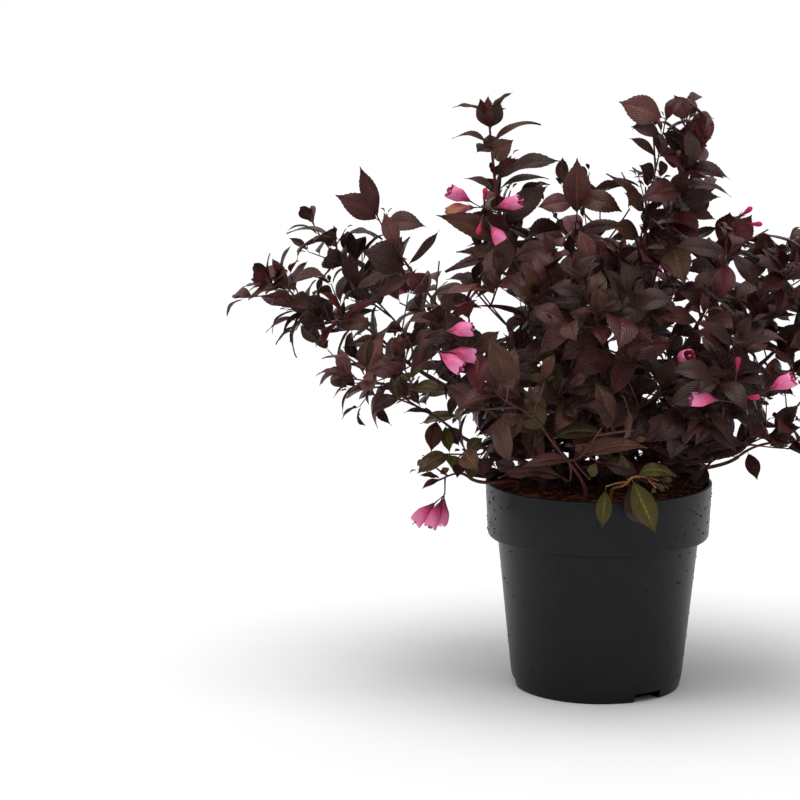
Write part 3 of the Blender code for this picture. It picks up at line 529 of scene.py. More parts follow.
def tree_of(shapes):
    """Search tree over several shapes, each given as its corners and its faces."""
    corners = []
    faces = []
    for points, polygons in shapes:
        base = len(corners)
        corners.extend(points)
        faces.extend(tuple(base + index for index in polygon) for polygon in polygons)
    return BVHTree.FromPolygons(corners, faces)

# %% What is in the way
limb_trees = {}
mass_trees = {name: [] for name in MASSES}
blade_trees = []
flower_trees = []


def over_pot(corners):
    """True if any corner is in or close over the pot or the compost."""
    reach, top = RIM_RADIUS + RIM_CLEARANCE, POT_HEIGHT + RIM_CLEARANCE
    return any(math.hypot(corner.x, corner.y) < reach and corner.z < top for corner in corners)


def astray(name, point):
    """True if a point is well nearer to another mass's main shoot than to its own."""
    near = limb_trees[name].find_nearest(point)[3] - ASTRAY
    return any(limb_trees[other].find_nearest(point)[3] < near for other in MASSES if other != name)


def touches(name, shape):
    """True if a shape touches a limb, a flower or anything of another mass."""
    tree = tree_of([shape])
    others = [limb for other, limb in limb_trees.items() if other != name]
    others += [grown for other, trees in mass_trees.items() if other != name for grown in trees]
    return any(tree.overlap(other) for other in others + flower_trees)


def fits(name, shape, middle):
    """True if a shape keeps to the mass's own space and touches nothing outside it."""
    corners = shape[0]
    corners = corners + [corners[0].lerp(corners[-1], 0.5)]
    return not (over_pot(corners) or astray(name, middle) or touches(name, shape))

# %% [markdown]
# ## Growing the limbs
#
# The stems come first, then the main shoot of each mass. They could be moved apart by hand. Instead,
# one that would touch a limb before it sways a little and is tried again, so that it stays right
# when a size changes. A smoother path through the same curve is kept for drawing.

# %% Grow the stems and main shoots
FINE_LIMB_POINTS = 64
FINE_SHOOT_POINTS = 30
FINE_TWIG_POINTS = 12


def clear_limb(name, path_for):
    """The first sway of a limb that touches no limb before it, and which sway that was."""
    for attempt in range(LIMB_ATTEMPTS):
        path = path_for(attempt)
        beyond = Path(path.points[1:], path.radii[1:])
        tree = tree_of([sleeve_shape(beyond, CLEARANCE)])
        if not any(tree.overlap(limb) for limb in limb_trees.values()):
            break
    limb_trees[name] = tree_of([sleeve_shape(path, GAP)])
    return path, attempt


def leaned(path, lean):
    """A path whose points lean over more and more towards its tip."""
    last = len(path.points) - 1
    shares = [(order / last) ** LEAN_GROWTH for order in range(last + 1)]
    return Path([point + Vector(lean) * share for point, share in zip(path.points, shares)], path.radii)


# The drawn crest leans a little closer to the spire than the solid one, most of all at its tip.
LEANS = {"foliage_right_crest": (0.020, 0.0, 0.013)}
LEAN_GROWTH = 1.4
boughs = {}
fine_boughs = {}
for name in BOUGHS:
    boughs[name], sway = clear_limb(name, lambda attempt: bough_path(name, attempt))
    fine_boughs[name] = bough_path(name, sway, FINE_LIMB_POINTS)

shoots = {}
fine_shoots = {}
for name, mass in MASSES.items():
    bough = boughs[mass.bough]
    shoots[name], sway = clear_limb(name, lambda attempt: stem_path(name, bough, attempt))
    fine = stem_path(name, fine_boughs[mass.bough], sway, FINE_SHOOT_POINTS)
    fine_shoots[name] = leaned(fine, LEANS.get(name, (0, 0, 0)))
print("Stems:", len(boughs), "main shoots:", len(shoots))

# %% [markdown]
# ## Growing the blossom and the first leaves
#
# Flowers hang from short stalks in the axils. Hung on at the end they would cut into leaves, so
# their places are reserved first. Each mass then gets its leaf pairs, a crest, and its side twigs
# with two leaves each. Every leaf that is accepted is worked out again on the finely drawn shoot, at
# the size of a real leaf, because the solids had fewer and larger leaves.

# %% Reserve the blossom
Flower = namedtuple("Flower", "base stalk_end tip kind")
flowers = {name: [] for name in MASSES}
truss_stalks = {name: [] for name in MASSES}


def flower_path(flower):
    """A flower's stalk and its widening corolla, or the club of a bud, as one tapering path."""
    mouth = BUD_RADIUS if flower.kind == "bud" else FLOWER_MOUTH
    points = [flower.base, flower.stalk_end, flower.tip]
    return Path(points, [PEDICEL_ROOT, PEDICEL_RADIUS, mouth])


stalks = {name: [] for name in MASSES}
for name, along, fork, heads in TRUSSES:
    fork = Vector(fork)
    start = point_on(shoots[name], along)[0]
    stalks[name].append(Path([start, fork], [STALK_RADIUS, STALK_RADIUS]))
    truss_stalks[name].append((point_on(fine_shoots[name], along)[0], fork))
    mass_trees[name].append(tree_of([sleeve_shape(stalks[name][-1], CLEARANCE)]))
    for order, (way, pedicel, kind) in enumerate(heads):
        way = Vector(way).normalized()
        base = fork.lerp(start, order * FLOWER_STEP)
        stalk_end = base + way * pedicel
        length = BUD_LENGTH if kind == "bud" else FLOWER_LENGTH
        flower = Flower(base, stalk_end, stalk_end + way * length, kind)
        flowers[name].append(flower)
        flower_trees.append(tree_of([sleeve_shape(flower_path(flower), GAP)]))
print("Flowers and buds:", sum(map(len, flowers.values())))

# %% Place leaves in crossed pairs
LIFE_SIZE = 0.94
Blade = namedtuple("Blade", "leaf spray young tint", defaults=(0, None))
tested_leaves = {name: [] for name in MASSES}
tested_twigs = {name: list(stalks[name]) for name in MASSES}
blades = {name: [] for name in MASSES}
fine_twigs = {name: [] for name in MASSES}


def free_leaf(name, shoot, share, bearing, size, key, low=False):
    """The first position of a leaf that is free, and which attempt that was."""
    for attempt in range(LEAF_ATTEMPTS):
        leaf = leaf_on(name, shoot, share, bearing, size, key, attempt)
        blade = blade_tree(leaf)
        if any(blade.overlap(other) for other in blade_trees):
            continue
        shape = leaf_shape(leaf)
        if low and (over_pot(shape[0]) or in_sky(leaf_points(leaf)) or touches(name, shape)):
            continue
        if low or fits(name, shape, shape[0][4]):
            blade_trees.append(blade)
            return leaf, attempt
    return None, None


def add_leaves(name, shoot, fine, key, shares, size, first, sides=(0, 180), spray="shoot"):
    """Crossed pairs of leaves at the given shares of a shoot, tested on it and drawn on `fine`."""
    length = path_length(shoot)
    for order, share in enumerate(shares):
        for side in sides:
            bearing = first + 90 * (order % 2) + side
            place = share - (STAGGER / length if side else 0)
            names = (key, order, side)
            leaf, attempt = free_leaf(name, shoot, place, bearing, size, names)
            if leaf:
                tested_leaves[name].append(leaf)
                real = leaf_on(name, fine, place, bearing, size * LIFE_SIZE, names, attempt)
                blades[name].append(Blade(real, spray))

# %% Place the side twigs
def add_twigs(name):
    """The side twigs of a mass, each with a leaf near its middle and one at its tip."""
    for order in range(MASSES[name].twigs):
        for attempt in range(TWIG_ATTEMPTS):
            twig = side_twig(name, shoots[name], order, attempt)
            beyond = Path(twig.points[1:], twig.radii[1:])
            if fits(name, sleeve_shape(beyond, CLEARANCE), twig.points[-1]):
                fine = side_twig(name, fine_shoots[name], order, attempt, FINE_TWIG_POINTS)
                tested_twigs[name].append(twig)
                fine_twigs[name].append(fine)
                first = chance(name, order).uniform(-30, 30)
                add_leaves(name, twig, fine, order, [TWIG_LEAF], 1, first, [180], order)
                tip = [TWIG_TIP_LEAF], TWIG_TIP_SIZE, first + 90, [0], order
                add_leaves(name, twig, fine, (order, "tip"), *tip)
                break


def close(name, leaves, twigs):
    """Puts everything that a mass has so far in one search tree."""
    shapes = [leaf_shape(leaf) for leaf in leaves]
    shapes += [sleeve_shape(twig, GAP) for twig in twigs]
    mass_trees[name].append(tree_of(shapes))

# %% Grow one mass after another
def first_shares(name):
    """Where the leaf pairs of a main shoot stand, as shares of its length."""
    pairs = max(2, round(path_length(shoots[name]) / INTERNODE))
    first, last = LEAF_ZONE
    return [first + (last - first) * order / (pairs - 1) for order in range(pairs)]


for name in MASSES:
    blade_trees.clear()
    shares = first_shares(name)
    add_leaves(name, shoots[name], fine_shoots[name], "stem", shares, 1, 0)
    turn = 90 * (len(shares) % 2)
    add_leaves(name, shoots[name], fine_shoots[name], "crest", [CREST], CREST_SIZE, turn)
    add_twigs(name)
    close(name, tested_leaves[name], tested_twigs[name])
print("Leaves that the solids have:", sum(map(len, tested_leaves.values())))

# %% [markdown]
# ## Leaves that the photo shows one by one
#
# At the outline of the crown single leaves can be told apart: the crossed pairs of the left spire,
# the broad leaf at the top of the right one, the long ones over the rim. Random numbers would never
# put them there. So the ones that stand out are listed in millimetres, and sky is kept open where
# the photo shows it. Every other leaf gives way to them.

# %% Leaves that stand out
# Under the name of its mass, each row is where the leaf stands on the shoot, in eightieths of its
# length, the leaf's tip (x, y, z), its width, how far its upper side turns from the sky (0 degrees)
# to the viewer (90), its colour, and how strongly it arches. Where three more numbers come before
# the tip, they are the end of a short twig that the leaf stands on.
SHOWN_STEPS = 80
SHOWN = rows_of("""
left_spire
79 -150 -14 579 9 26 umber 0.26
79 -87 -6 594 9 28 umber 0.2
72 -120 -23 588 21 72 purple 0.06
72 -100 -21 587 19 66 black 0.06
79 -111 -36 592 9 72 mauve 0.05
78 -119 -34 589 7 66 wine 0.05
64 -152 -19 548 13 26 umber 0.32
64 -55 -9 564 13 26 umber 0.3
63 -122 -39 537 20 48 black 0.1
56 -84 -27 551 25 66 umber 0.3
60 -111 -8 554 17 70 umber 0.18
48 -108 -25 526 6 62 wine 0.08
47 -99 -15 525 9 62 black 0.08
50 -80 -18 530 8 62 wine 0.08
50 -88 -13 532 9 62 black 0.08
46 -29 -27 529 20 44 black 0.26
41 -49 -12 510 12 30 black 0.22
40 -138 -9 509 12 30 umber 0.26
23 -52 -28 506 28 62 black 0.1
14 -163 -52 478 27 66 umber 0.16
2 -143 -54 441 20 45 umber 0.16
0 -156 -50 423 24 34 purple 0.22
50 -110 -22 527 6 60 wine 0.05
50 -84 -20 531 8 60 wine 0.05
48 -79 -27 526 8 60 wine 0.05
29 -101 -37 498 18 60 purple 0.1
12 -111 -46 483 22 70 purple 0.08
4 -44 -41 445 24 52 umber 0.18
2 -99 -40 466 22 66 umber 0.1
middle
67 -25 -3 530 33 78 mauve 0.05
80 -65 5 480 24 62 mauve 0.14
80 29 3 473 27 60 umber 0.46
47 30 11 462 20 50 umber 0.22
34 -78 47 458 24 55 umber 0.16
27 26 -2 414 26 55 olive 0.2
21 -30 -6 390 24 62 umber 0.1
right_crest
80 14 -32 586 32 80 mauve 0.1
73 26 -32 562 20 55 black 0.14
63 23 -20 551 15 34 umber 0.2
53 35 -42 526 26 58 black 0.12
42 3 -23 517 15 34 umber 0.12
41 21 -34 499 22 52 umber 0.12
30 8 -34 467 26 56 umber 0.16
26 20 -43 432 26 62 umber 0.14
right_spire
78 68 -10 592 22 76 mauve 0.06
79 110 0 566 13 30 umber 0.34
61 92 -20 569 28 62 wine 0.1
60 106 -16 551 14 50 wine 0.1
54 131 -10 508 20 42 umber 0.36
65 98 -12 575 22 66 purple 0.1
65 57 -20 556 22 62 black 0.1
57 55 -24 539 20 60 umber 0.1
46 44 -25 504 24 60 black 0.12
42 84 -27 520 24 60 umber 0.1
53 122 -24 511 19 42 black 0.3
49 130 6 493 13 28 umber 0.18
39 95 -39 452 26 74 wine 0.1
39 116 -21 495 24 52 black 0.14
36 113 -9 470 20 48 umber 0.2
27 82 -41 409 36 82 bronze 0.06
right_shoulder
63 144 -44 479 26 66 wine 0.06
52 116 -67 398 24 72 wine 0.1
61 153 -54 405 20 48 black 0.16
39 86 -55 405 22 40 umber 0.22
left_shoot
68 -236 -39 524 19 64 purple 0.1
67 -260 -48 496 28 60 purple 0.14
62 -161 -45 463 25 56 umber 0.44
35 -159 -34 462 12 40 black -0.1
35 -233 -64 443 38 72 black 0.14
46 -193 -52 456 16 60 umber 0.1
32 -245 -37 399 17 38 umber 0.14
14 -187 -62 422 22 70 mauve 0.1
12 -126 -62 407 18 36 umber 0.14
5 -112 -67 388 22 52 purple 0.22
29 -220 -59 394 16 50 purple 0.1
front_left
0 -71 -130 305 27 72 olive 0.08
7 -67 -119 323 22 70 bronze 0.1
0 -121 -124 272 17 44 umber 0.22
20 -115 -141 268 17 44 umber 0.34
30 -95 -152 265 18 56 umber 0.14
front_mid
0 -44 -103 268 12 -115 274 19 46 olive 0.26
1 39 -96 275 13 40 bronze 0.22
9 53 -127 265 21 48 bronze 0.28
1 -77 -125 243 15 56 mauve 0.24
0 -27 -103 226 -103 -115 229 18 40 umber 0.3
10 -8 -112 230 -2 -126 250 12 60 olive 0.1
29 1 -129 250 39 -125 239 20 56 black 0.16
0 -75 -103 235 -101 -91 241 17 54 black 0.12
front_hanging
0 7 -125 226 4 -137 187 17 66 green 0.08
16 55 -142 184 27 74 green 0.06
25 81 -136 237 17 44 green 0.44
0 49 -129 186 34 66 black 0.08
0 20 -129 260 12 60 olive 0.06
20 55 -137 233 9 50 wine 0.1
low_left
31 -193 -65 285 11 24 umber 0.24
32 -173 -71 287 12 40 black 0.2
29 -163 -73 247 20 74 purple 0.08
16 -145 -74 247 15 70 green 0.06
13 -136 -68 253 19 74 purple 0.08
low_left_green
49 -180 -91 225 20 52 olive 0.34
45 -142 -99 237 18 60 green 0.1
37 -137 -86 224 16 60 black 0.1
21 -124 -81 221 17 66 olive 0.08
19 -111 -74 223 15 50 umber 0.14
34 -113 -65 261 17 50 olive 0.06
0 -83 -65 236 19 58 black 0.1
2 -88 -71 253 17 50 umber 0.12
hanging_flowers
54 -175 -73 224 9 40 umber 0.16
50 -174 -67 208 9 36 umber 0.16
44 -152 -68 232 11 60 bronze 0.06
0 -100 -46 239 15 60 umber 0.1
0 -93 -44 225 13 60 black 0.1
low_right
7 156 -30 216 16 62 umber 0.08
0 106 -20 231 9 30 umber 0.2
left_flowers
54 -95 -105 372 20 50 umber 0.1
right_low
4 72 -36 226 22 50 black 0.14
6 67 -49 247 22 52 umber 0.16
0 92 -31 208 20 62 black 0.08
4 90 -16 231 53 -50 225 24 48 black 0.16
2 77 -14 224 51 -44 207 19 58 umber 0.1
62 190 -94 303 20 60 black 0.1
59 192 -101 281 22 60 black 0.12
54 183 -96 263 20 50 umber 0.16
centre_low
1 -30 -67 248 22 60 umber 0.12
1 28 -67 247 22 58 black 0.12
17 -37 -88 266 20 50 umber 0.14
0 -14 -66 240 21 60 black 0.12
0 45 -66 259 20 50 umber 0.12
2 5 -58 235 17 60 black 0.12
4 -26 -57 233 18 58 black 0.12
far_right
0 195 -10 371 20 62 black 0.1
0 197 -16 344 22 60 black 0.1
0 191 -20 329 22 56 umber 0.16
""")
print("Rows:", len(SHOWN))

# %% Where the sky shows
# Each window is x, z and a radius in millimetres, where the line of sight meets the plane y = 0.
SKY = """
-261 475 16, -195 497 20, -168 495 18, -172 434 14, -154 424 6, -201 383 7, -185 527 26, -145 527 14,
-136 562 10, -81 578 7, -64 547 12, -50 547 10, -17 547 20, 2 536 20, 19 528 11, 41 538 6, -3 574 19,
-10 477 5, 129 538 21, 120 484 7, 139 501 14, 159 487 16, 178 478 19, 132 419 9, 128 565 14, -105 352 8,
-105 384 8, 45 294 8, 38 312 6, 161 199 26, 190 201 22, 136 208 12, 159 247 7, 179 236 5, 80 610 12,
66 602 7, -60 474 12, -39 483 9, -29 475 8, 4 477 13, 20 477 8, -10 471 5, 25 459 7, 42 483 7, 98 462 8,
105 473 6, 147 458 8, 161 454 5, 178 457 6, 136 410 7, 36 530 9, 24 547 5, -150 426 7, -139 417 6,
-112 381 7, -98 384 8, -119 363 8, -103 356 8, -127 343 6, -65 381 5, -54 384 5, 12 340 8, -194 422 7,
-193 275 10, -175 277 7, -162 285 5, -133 259 5, -167 255 6, -128 243 6, 112 246 4, 153 247 6, 115 222 8,
131 224 8, 182 225 6, 195 284 6, -187 246 16, -149 208 5, -124 175 22, -184 193 14, -205 236 14
"""
SKY = [tuple(map(int, window.split())) for window in SKY.split(",")]


def in_sky(points):
    """True if the camera sees any of the points inside a window of sky."""
    for point in points:
        share = CAMERA_PLACE[1] / (CAMERA_PLACE[1] - point.y)
        x = 1000 * (CAMERA_PLACE[0] + (point.x - CAMERA_PLACE[0]) * share)
        z = 1000 * (CAMERA_PLACE[2] + (point.z - CAMERA_PLACE[2]) * share)
        if any(math.hypot(x - left, z - high) < radius for left, high, radius in SKY):
            return True
    return False


def leaf_points(leaf):
    """Points all over a leaf, to look for the sky through."""
    root, left, right, tip, middle = leaf_corners(leaf, 0)
    spread = [middle.lerp(tip, 0.5), root.lerp(middle, 0.5), left.lerp(tip, 0.5), right.lerp(tip, 0.5)]
    return [left, right, tip, middle, *spread]

# %% Place the leaves that stand out
SHOWN_TWIG_LEAD = 0.06
SHOWN_TWIG_BOW = 0.0015
SHOWN_TWIG_RADII = [0.0010, 0.0009, 0.0008]
shown_twigs = {name: [] for name in MASSES}
shown_blades = {name: [] for name in MASSES}
for first, *words in SHOWN:
    if not words:
        name = "foliage_" + first
        continue
    share = int(first) / SHOWN_STEPS
    *places, width, turn, tint, arch = words
    tip = Vector(map(int, places[-3:])) / 1000
    root = point_on(fine_shoots[name], share)[0]
    if len(places) > 3:
        root = Vector(map(int, places[:3])) / 1000
        place = point_on(fine_shoots[name], max(share - SHOWN_TWIG_LEAD, 0))[0]
        middle = place.lerp(root, 0.55) + (place - tip).normalized() * SHOWN_TWIG_BOW
        shown_twigs[name].append(Path([place, middle, root], SHOWN_TWIG_RADII))
    length = (tip - root).length
    turn = math.radians(int(turn))
    arch = float(arch)
    facing = UP * math.cos(turn) + Vector((0, -math.sin(turn), 0))
    normal = square_to((tip - root).normalized(), facing)
    along = (tip + normal * arch * length - root).normalized()
    leaf = Leaf(root, along, square_to(along, facing), length, int(width) / 1000, arch)
    shown_blades[name].append(Blade(leaf, "shown", 0, tint))
print("Leaves placed one by one:", sum(map(len, shown_blades.values())))

# %% Clear their space
for name, mass in MASSES.items():
    shapes = [leaf_shape(blade.leaf, rooted=False) for blade in shown_blades[name]]
    taken = tree_of(shapes) if shapes else None
    kept = []
    for order, blade in enumerate(blades[name]):
        hit = (taken and taken.overlap(blade_tree(blade.leaf))) or in_sky(leaf_points(blade.leaf))
        if not hit and chance(name, "keep", order).random() < mass.keep:
            kept.append(blade)
    blades[name] = kept + shown_blades[name]
print("First leaves kept:", sum(map(len, blades.values())))

# %% [markdown]
# ## Carrying the growth on
#
# A real shoot has a leaf pair every two or three centimetres, and finer twigs in between. They could
# be scattered in the same space, but leaves that join nothing show at once from close by. So the
# same rule goes on, one order finer: more pairs on each shoot and twig, new twigs between the first
# ones, and a few small young leaves at each tip. The tests now use the real sizes.

# %% The finer growth
FINE_TWIG_LENGTH = 0.72
FINE_TWIG_RADIUS = 0.0008
FINE_TWIG_SIZES = (0.62, 0.92)
# Leaf pairs: where they stand, their size, their turn in degrees, and whether they are young
SHOOT_PAIRS = (("young", [1.0], 0.55, 45, 1), ("bud", [1.0], 0.30, 135, 1))
TWIG_PAIRS = (
    ("low", [0.30], 0.85, 90, 0),
    ("mid", [0.56, 0.80], 0.95, 0, 0),
    ("tip", [0.985], 0.95, 90, 0),
    ("young", [1.0], 0.42, 0, 1),
)
FINE_TWIG_PAIRS = (
    ("low", [0.38, 0.70], 0.86, 0, 0),
    ("tip", [0.985], 0.95, 0, 0),
    ("young", [1.0], 0.42, 90, 1),
)
extra_twigs = {name: list(shown_twigs[name]) for name in MASSES}


def grows(name, *key):
    """True for the share of the finer growth that a mass carries."""
    return chance(name, "grows", *key).random() < MASSES[name].fill


def fine_pairs(name, path, key, shares, size, first, spray, young=0):
    """More leaf pairs on a finely drawn shoot, tested at the size of a real leaf."""
    for order, share in enumerate(shares):
        for side in (0, 180):
            bearing = first + 90 * (order % 2) + side
            names = ("fine", key, order, side)
            if not young and not grows(name, *names):
                continue
            leaf, _ = free_leaf(name, path, share, bearing, size * LIFE_SIZE, names)
            if leaf and not in_sky(leaf_points(leaf)):
                blades[name].append(Blade(leaf, spray, young))


def fine_twig(name, parent, share, key, attempt, scale):
    """A finer twig that leaves a shoot or twig at `share`."""
    rng = chance(name, "fine twig", key, attempt)
    start, axis, _ = point_on(parent, share)
    radial = turned(level_side(axis), axis, rng.uniform(0, 360))
    way = twig_way(axis, radial, rng.uniform(*TWIG_SPREAD), TWIG_LIFT)
    length = MASSES[name].reach * scale * rng.uniform(*FINE_TWIG_SIZES)
    bend = UP * length * rng.uniform(*TWIG_BEND)
    points, shares = bent_points(start, way, length, bend, FINE_TWIG_POINTS)
    return Path(points, [FINE_TWIG_RADIUS * (1 - 0.35 * along) for along in shares])


def add_fine_twig(name, parent, share, key, scale):
    """A finer twig with two leaf pairs and young leaves, where there is room for it."""
    if not grows(name, "twig", key):
        return
    for attempt in range(TWIG_ATTEMPTS):
        twig = fine_twig(name, parent, share, key, attempt, scale)
        beyond = Path(twig.points[3:], twig.radii[3:])
        if in_sky(twig.points[4:]):
            continue
        if fits(name, sleeve_shape(beyond, CLEARANCE), twig.points[-1]):
            extra_twigs[name].append(twig)
            turn = chance(name, "turn", key).uniform(0, 90)
            for part, places, size, more, young in FINE_TWIG_PAIRS:
                fine_pairs(name, twig, (key, part), places, size, turn + more, key, young)
            break

# %% Carry on every mass
def only_blades(name):
    """Leaves a mass's own leaves as the only ones that a new one has to miss."""
    blade_trees.clear()
    blade_trees.extend(blade_tree(blade.leaf) for blade in blades[name])


def close_again(name):
    """Puts all that a mass has now in one search tree, in place of the ones before."""
    mass_trees[name].clear()
    leaves = [blade.leaf for blade in blades[name]]
    close(name, leaves, [*stalks[name], *fine_twigs[name], *extra_twigs[name]])


def thicken(name):
    """The finer growth of one mass."""
    path = fine_shoots[name]
    only_blades(name)
    shares = first_shares(name)
    step = shares[1] - shares[0]
    between = [share + step / 2 for share in shares[:-1]]
    for part, places, size, more, young in (("between", between, 0.92, 45, 0), *SHOOT_PAIRS):
        fine_pairs(name, path, part, places, size, more, "shoot", young)
    for order, twig in enumerate(fine_twigs[name]):
        turn = chance(name, "turn", order).uniform(-30, 30)
        for part, places, size, more, young in TWIG_PAIRS:
            fine_pairs(name, twig, (order, part), places, size, turn + more, order, young)
        add_fine_twig(name, twig, 0.45, (order, "a"), FINE_TWIG_LENGTH)
    first, last = TWIG_ZONE
    for order in range(MASSES[name].twigs + 2):
        share = first + (last - first) * order / (MASSES[name].twigs + 1)
        add_fine_twig(name, path, share, (order, "b"), 1)

# %% Short leafy twigs on the lower stems
BASAL_SHARES = (0.06, 0.12, 0.19, 0.26, 0.34, 0.43, 0.54)
UPPER_SHARES = (0.62, 0.70, 0.78, 0.86, 0.94)
LEAFY_STEMS = ("stem_far_right", "stem_right", "stem_left", "stem_far_left")
BASAL_LENGTH = (0.030, 0.052)
BASAL_SIZE = 0.80


def basal_twig(name, bough, share, key, attempt):
    """A short twig that leaves a stem low down and turns up."""
    rng = chance(name, "basal", key, attempt)
    start, axis, _ = point_on(bough, share)
    radial = turned(level_side(axis), axis, rng.uniform(0, 360))
    length = rng.uniform(*BASAL_LENGTH)
    way = (radial + axis * rng.uniform(0.2, 0.7)).normalized()
    bend = UP * length * rng.uniform(-0.1, 0.3)
    points, shares = bent_points(start, way, length, bend, FINE_TWIG_POINTS)
    return Path(points, [FINE_TWIG_RADIUS * (1 - 0.3 * along) for along in shares])


def dress_stem(bough_name, name):
    """Short leafy twigs up the lower half of a stem."""
    only_blades(name)
    size = BASAL_SIZE * LIFE_SIZE / MASSES[name].size
    shares = BASAL_SHARES + (UPPER_SHARES if bough_name in LEAFY_STEMS else ())
    for order, share in enumerate(shares):
        key = (bough_name, order)
        for attempt in range(TWIG_ATTEMPTS):
            twig = basal_twig(name, fine_boughs[bough_name], share, key, attempt)
            beyond = sleeve_shape(Path(twig.points[5:], twig.radii[5:]), CLEARANCE)
            if over_pot(beyond[0]) or in_sky(twig.points[5:]) or touches(name, beyond):
                continue
            extra_twigs[name].append(twig)
            for place, level in enumerate((0.45, 0.75, 0.985, 0.985)):
                for side in (0, 180):
                    names = ("basal", key, place, side)
                    bearing = 90 * (place % 2) + side
                    leaf, _ = free_leaf(name, twig, level, bearing, size, names, low=True)
                    if leaf:
                        blades[name].append(Blade(leaf, key))
            break


BARE_STEMS = "stem_front_left twig_front_right twig_low_left branch_low_left branch_low_right".split()
for name in MASSES:
    close_again(name)
for bough_name in BOUGHS:
    if bough_name not in BARE_STEMS:
        name = next(name for name, mass in MASSES.items() if mass.bough == bough_name)
        dress_stem(bough_name, name)
        close_again(name)
for name in MASSES:
    thicken(name)
    close_again(name)

# %% Cut off the twigs that lost every leaf to the open sky
TWIG_REACH = 0.006


def leafy(name, twigs):
    """The twigs whose outer half bears any leaf of the mass."""
    roots = [blade.leaf.origin for blade in blades[name]]
    kept = []
    for twig in twigs:
        outer = twig.points[len(twig.points) // 2 :]
        if any((root - point).length < TWIG_REACH for root in roots for point in outer):
            kept.append(twig)
    return kept


for name in MASSES:
    fine_twigs[name] = leafy(name, fine_twigs[name])
    extra_twigs[name] = leafy(name, extra_twigs[name])
print("All leaves:", sum(map(len, blades.values())))
print("Twigs:", sum(map(len, fine_twigs.values())), "finer:", sum(map(len, extra_twigs.values())))

# %% [markdown]
# ## One mesh for many things
#
# A thousand leaves as a thousand objects would be slow and would not export well. Each kind is
# gathered in a bag of corners and faces instead, whose arrays go to Blender in one call each.

# %% The bag that a joined mesh is made from
class Bag:
    """Corners, faces and their finishes, gathered for one joined mesh."""

    def __init__(self):
        self.corners, self.places, self.faces, self.finishes = [], [], [], []
        self.count = 0

    def add(self, corners, faces, finish=0, places=None):
        """Adds corners (n, 3), one or more arrays of faces, and a place on the skin per corner."""
        corners = np.asarray(corners, float).reshape(-1, 3)
        for polygons in faces if isinstance(faces, list) else [faces]:
            polygons = np.asarray(polygons, int)
            self.faces.append(polygons + self.count)
            self.finishes.append(np.full(len(polygons), finish))
        self.corners.append(corners)
        self.places.append(np.zeros((len(corners), 2)) if places is None else places)
        self.count += len(corners)

    def make(self, name, materials):
        """The joined mesh as an object."""
        mesh = bpy.data.meshes.new(name)
        print(name, "triangles:", sum(len(faces) * (faces.shape[1] - 2) for faces in self.faces))
        corners = np.concatenate(self.corners)
        loops = np.concatenate([polygons.ravel() for polygons in self.faces])
        sizes = np.concatenate([np.full(len(p), p.shape[1]) for p in self.faces])
        starts = np.concatenate([[0], np.cumsum(sizes)[:-1]])
        mesh.vertices.add(len(corners))
        mesh.vertices.foreach_set("co", corners.ravel())
        mesh.loops.add(len(loops))
        mesh.loops.foreach_set("vertex_index", loops)
        mesh.polygons.add(len(sizes))
        mesh.polygons.foreach_set("loop_start", starts)
        mesh.polygons.foreach_set("material_index", np.concatenate(self.finishes))
        mesh.update(calc_edges=True)
        skin = mesh.uv_layers.new(name="skin")
        skin.data.foreach_set("uv", np.concatenate(self.places)[loops].ravel())
        mesh.shade_smooth()
        for made in materials:
            mesh.materials.append(made)
        return linked(name, mesh)


def grid_faces(rows, columns, closed):
    """Four-sided faces of a grid of corners, closed round its columns or open."""
    row, column = np.meshgrid(np.arange(rows - 1), np.arange(columns - (not closed)), indexing="ij")
    beside = (column + 1) % columns
    faces = [row * columns + column, row * columns + beside]
    faces += [(row + 1) * columns + beside, (row + 1) * columns + column]
    return np.stack(faces, axis=-1).reshape(-1, 4)


def closed_faces(rows, sides):
    """The faces of a closed tube of `rows` rings, with a flat cap at each end."""
    caps = np.array([np.arange(sides)[::-1], (rows - 1) * sides + np.arange(sides)])
    return [grid_faces(rows, sides, True), caps]

# %% A tube with rings
def ring_frames(points):
    """Two unit vectors square to the path at each of its points, with no sudden turn."""
    ways = np.gradient(points, axis=0)
    ways /= np.linalg.norm(ways, axis=1)[:, None]
    side = np.array(level_side(Vector(ways[0])))
    sides = []
    for way in ways:
        side = side - way * (side @ way)
        side = side / np.linalg.norm(side)
        sides.append(side)
    sides = np.array(sides)
    return sides, np.cross(ways, sides)


def tube(points, radii, sides):
    """Corners and faces of a closed tube. `radii` is one per ring, or one per corner."""
    points = np.array(points, float)
    radii = np.array(radii, float).reshape(len(points), -1)
    across, up = ring_frames(points)
    turns = 2 * np.pi * np.arange(sides) / sides
    ring = across[:, None] * np.cos(turns)[:, None] + up[:, None] * np.sin(turns)[:, None]
    corners = points[:, None] + ring * radii[:, :, None]
    return corners.reshape(-1, 3), closed_faces(len(points), sides)

# %% [markdown]
# ## Finishes shared by several materials
#
# Three effects come back in many finishes: blotches of a second colour, fine grain, and the veins
# of a leaf. Each is a node group with named inputs. A painted image could give them too, but a
# procedural one has no seams or pixels and fits every size.

# %% Helpers for node trees
def put(tree, kind, links=None, values=None, **settings):
    """A shader node of some kind with its settings, its plain values and its links."""
    made = tree.nodes.new("ShaderNode" + kind)
    for key, value in settings.items():
        setattr(made, key, value)
    for key, value in (values or {}).items():
        made.inputs[key].default_value = value
    for key, source in (links or {}).items():
        tree.links.new(source, made.inputs[key])
    return made


def maths(tree, operation, first, second=None, third=None):
    """The result of a Math node, whose inputs are sockets or numbers."""
    made = put(tree, "Math", operation=operation)
    for place, value in enumerate((first, second, third)):
        if isinstance(value, bpy.types.NodeSocket):
            tree.links.new(value, made.inputs[place])
        elif value is not None:
            made.inputs[place].default_value = value
    return made.outputs[0]


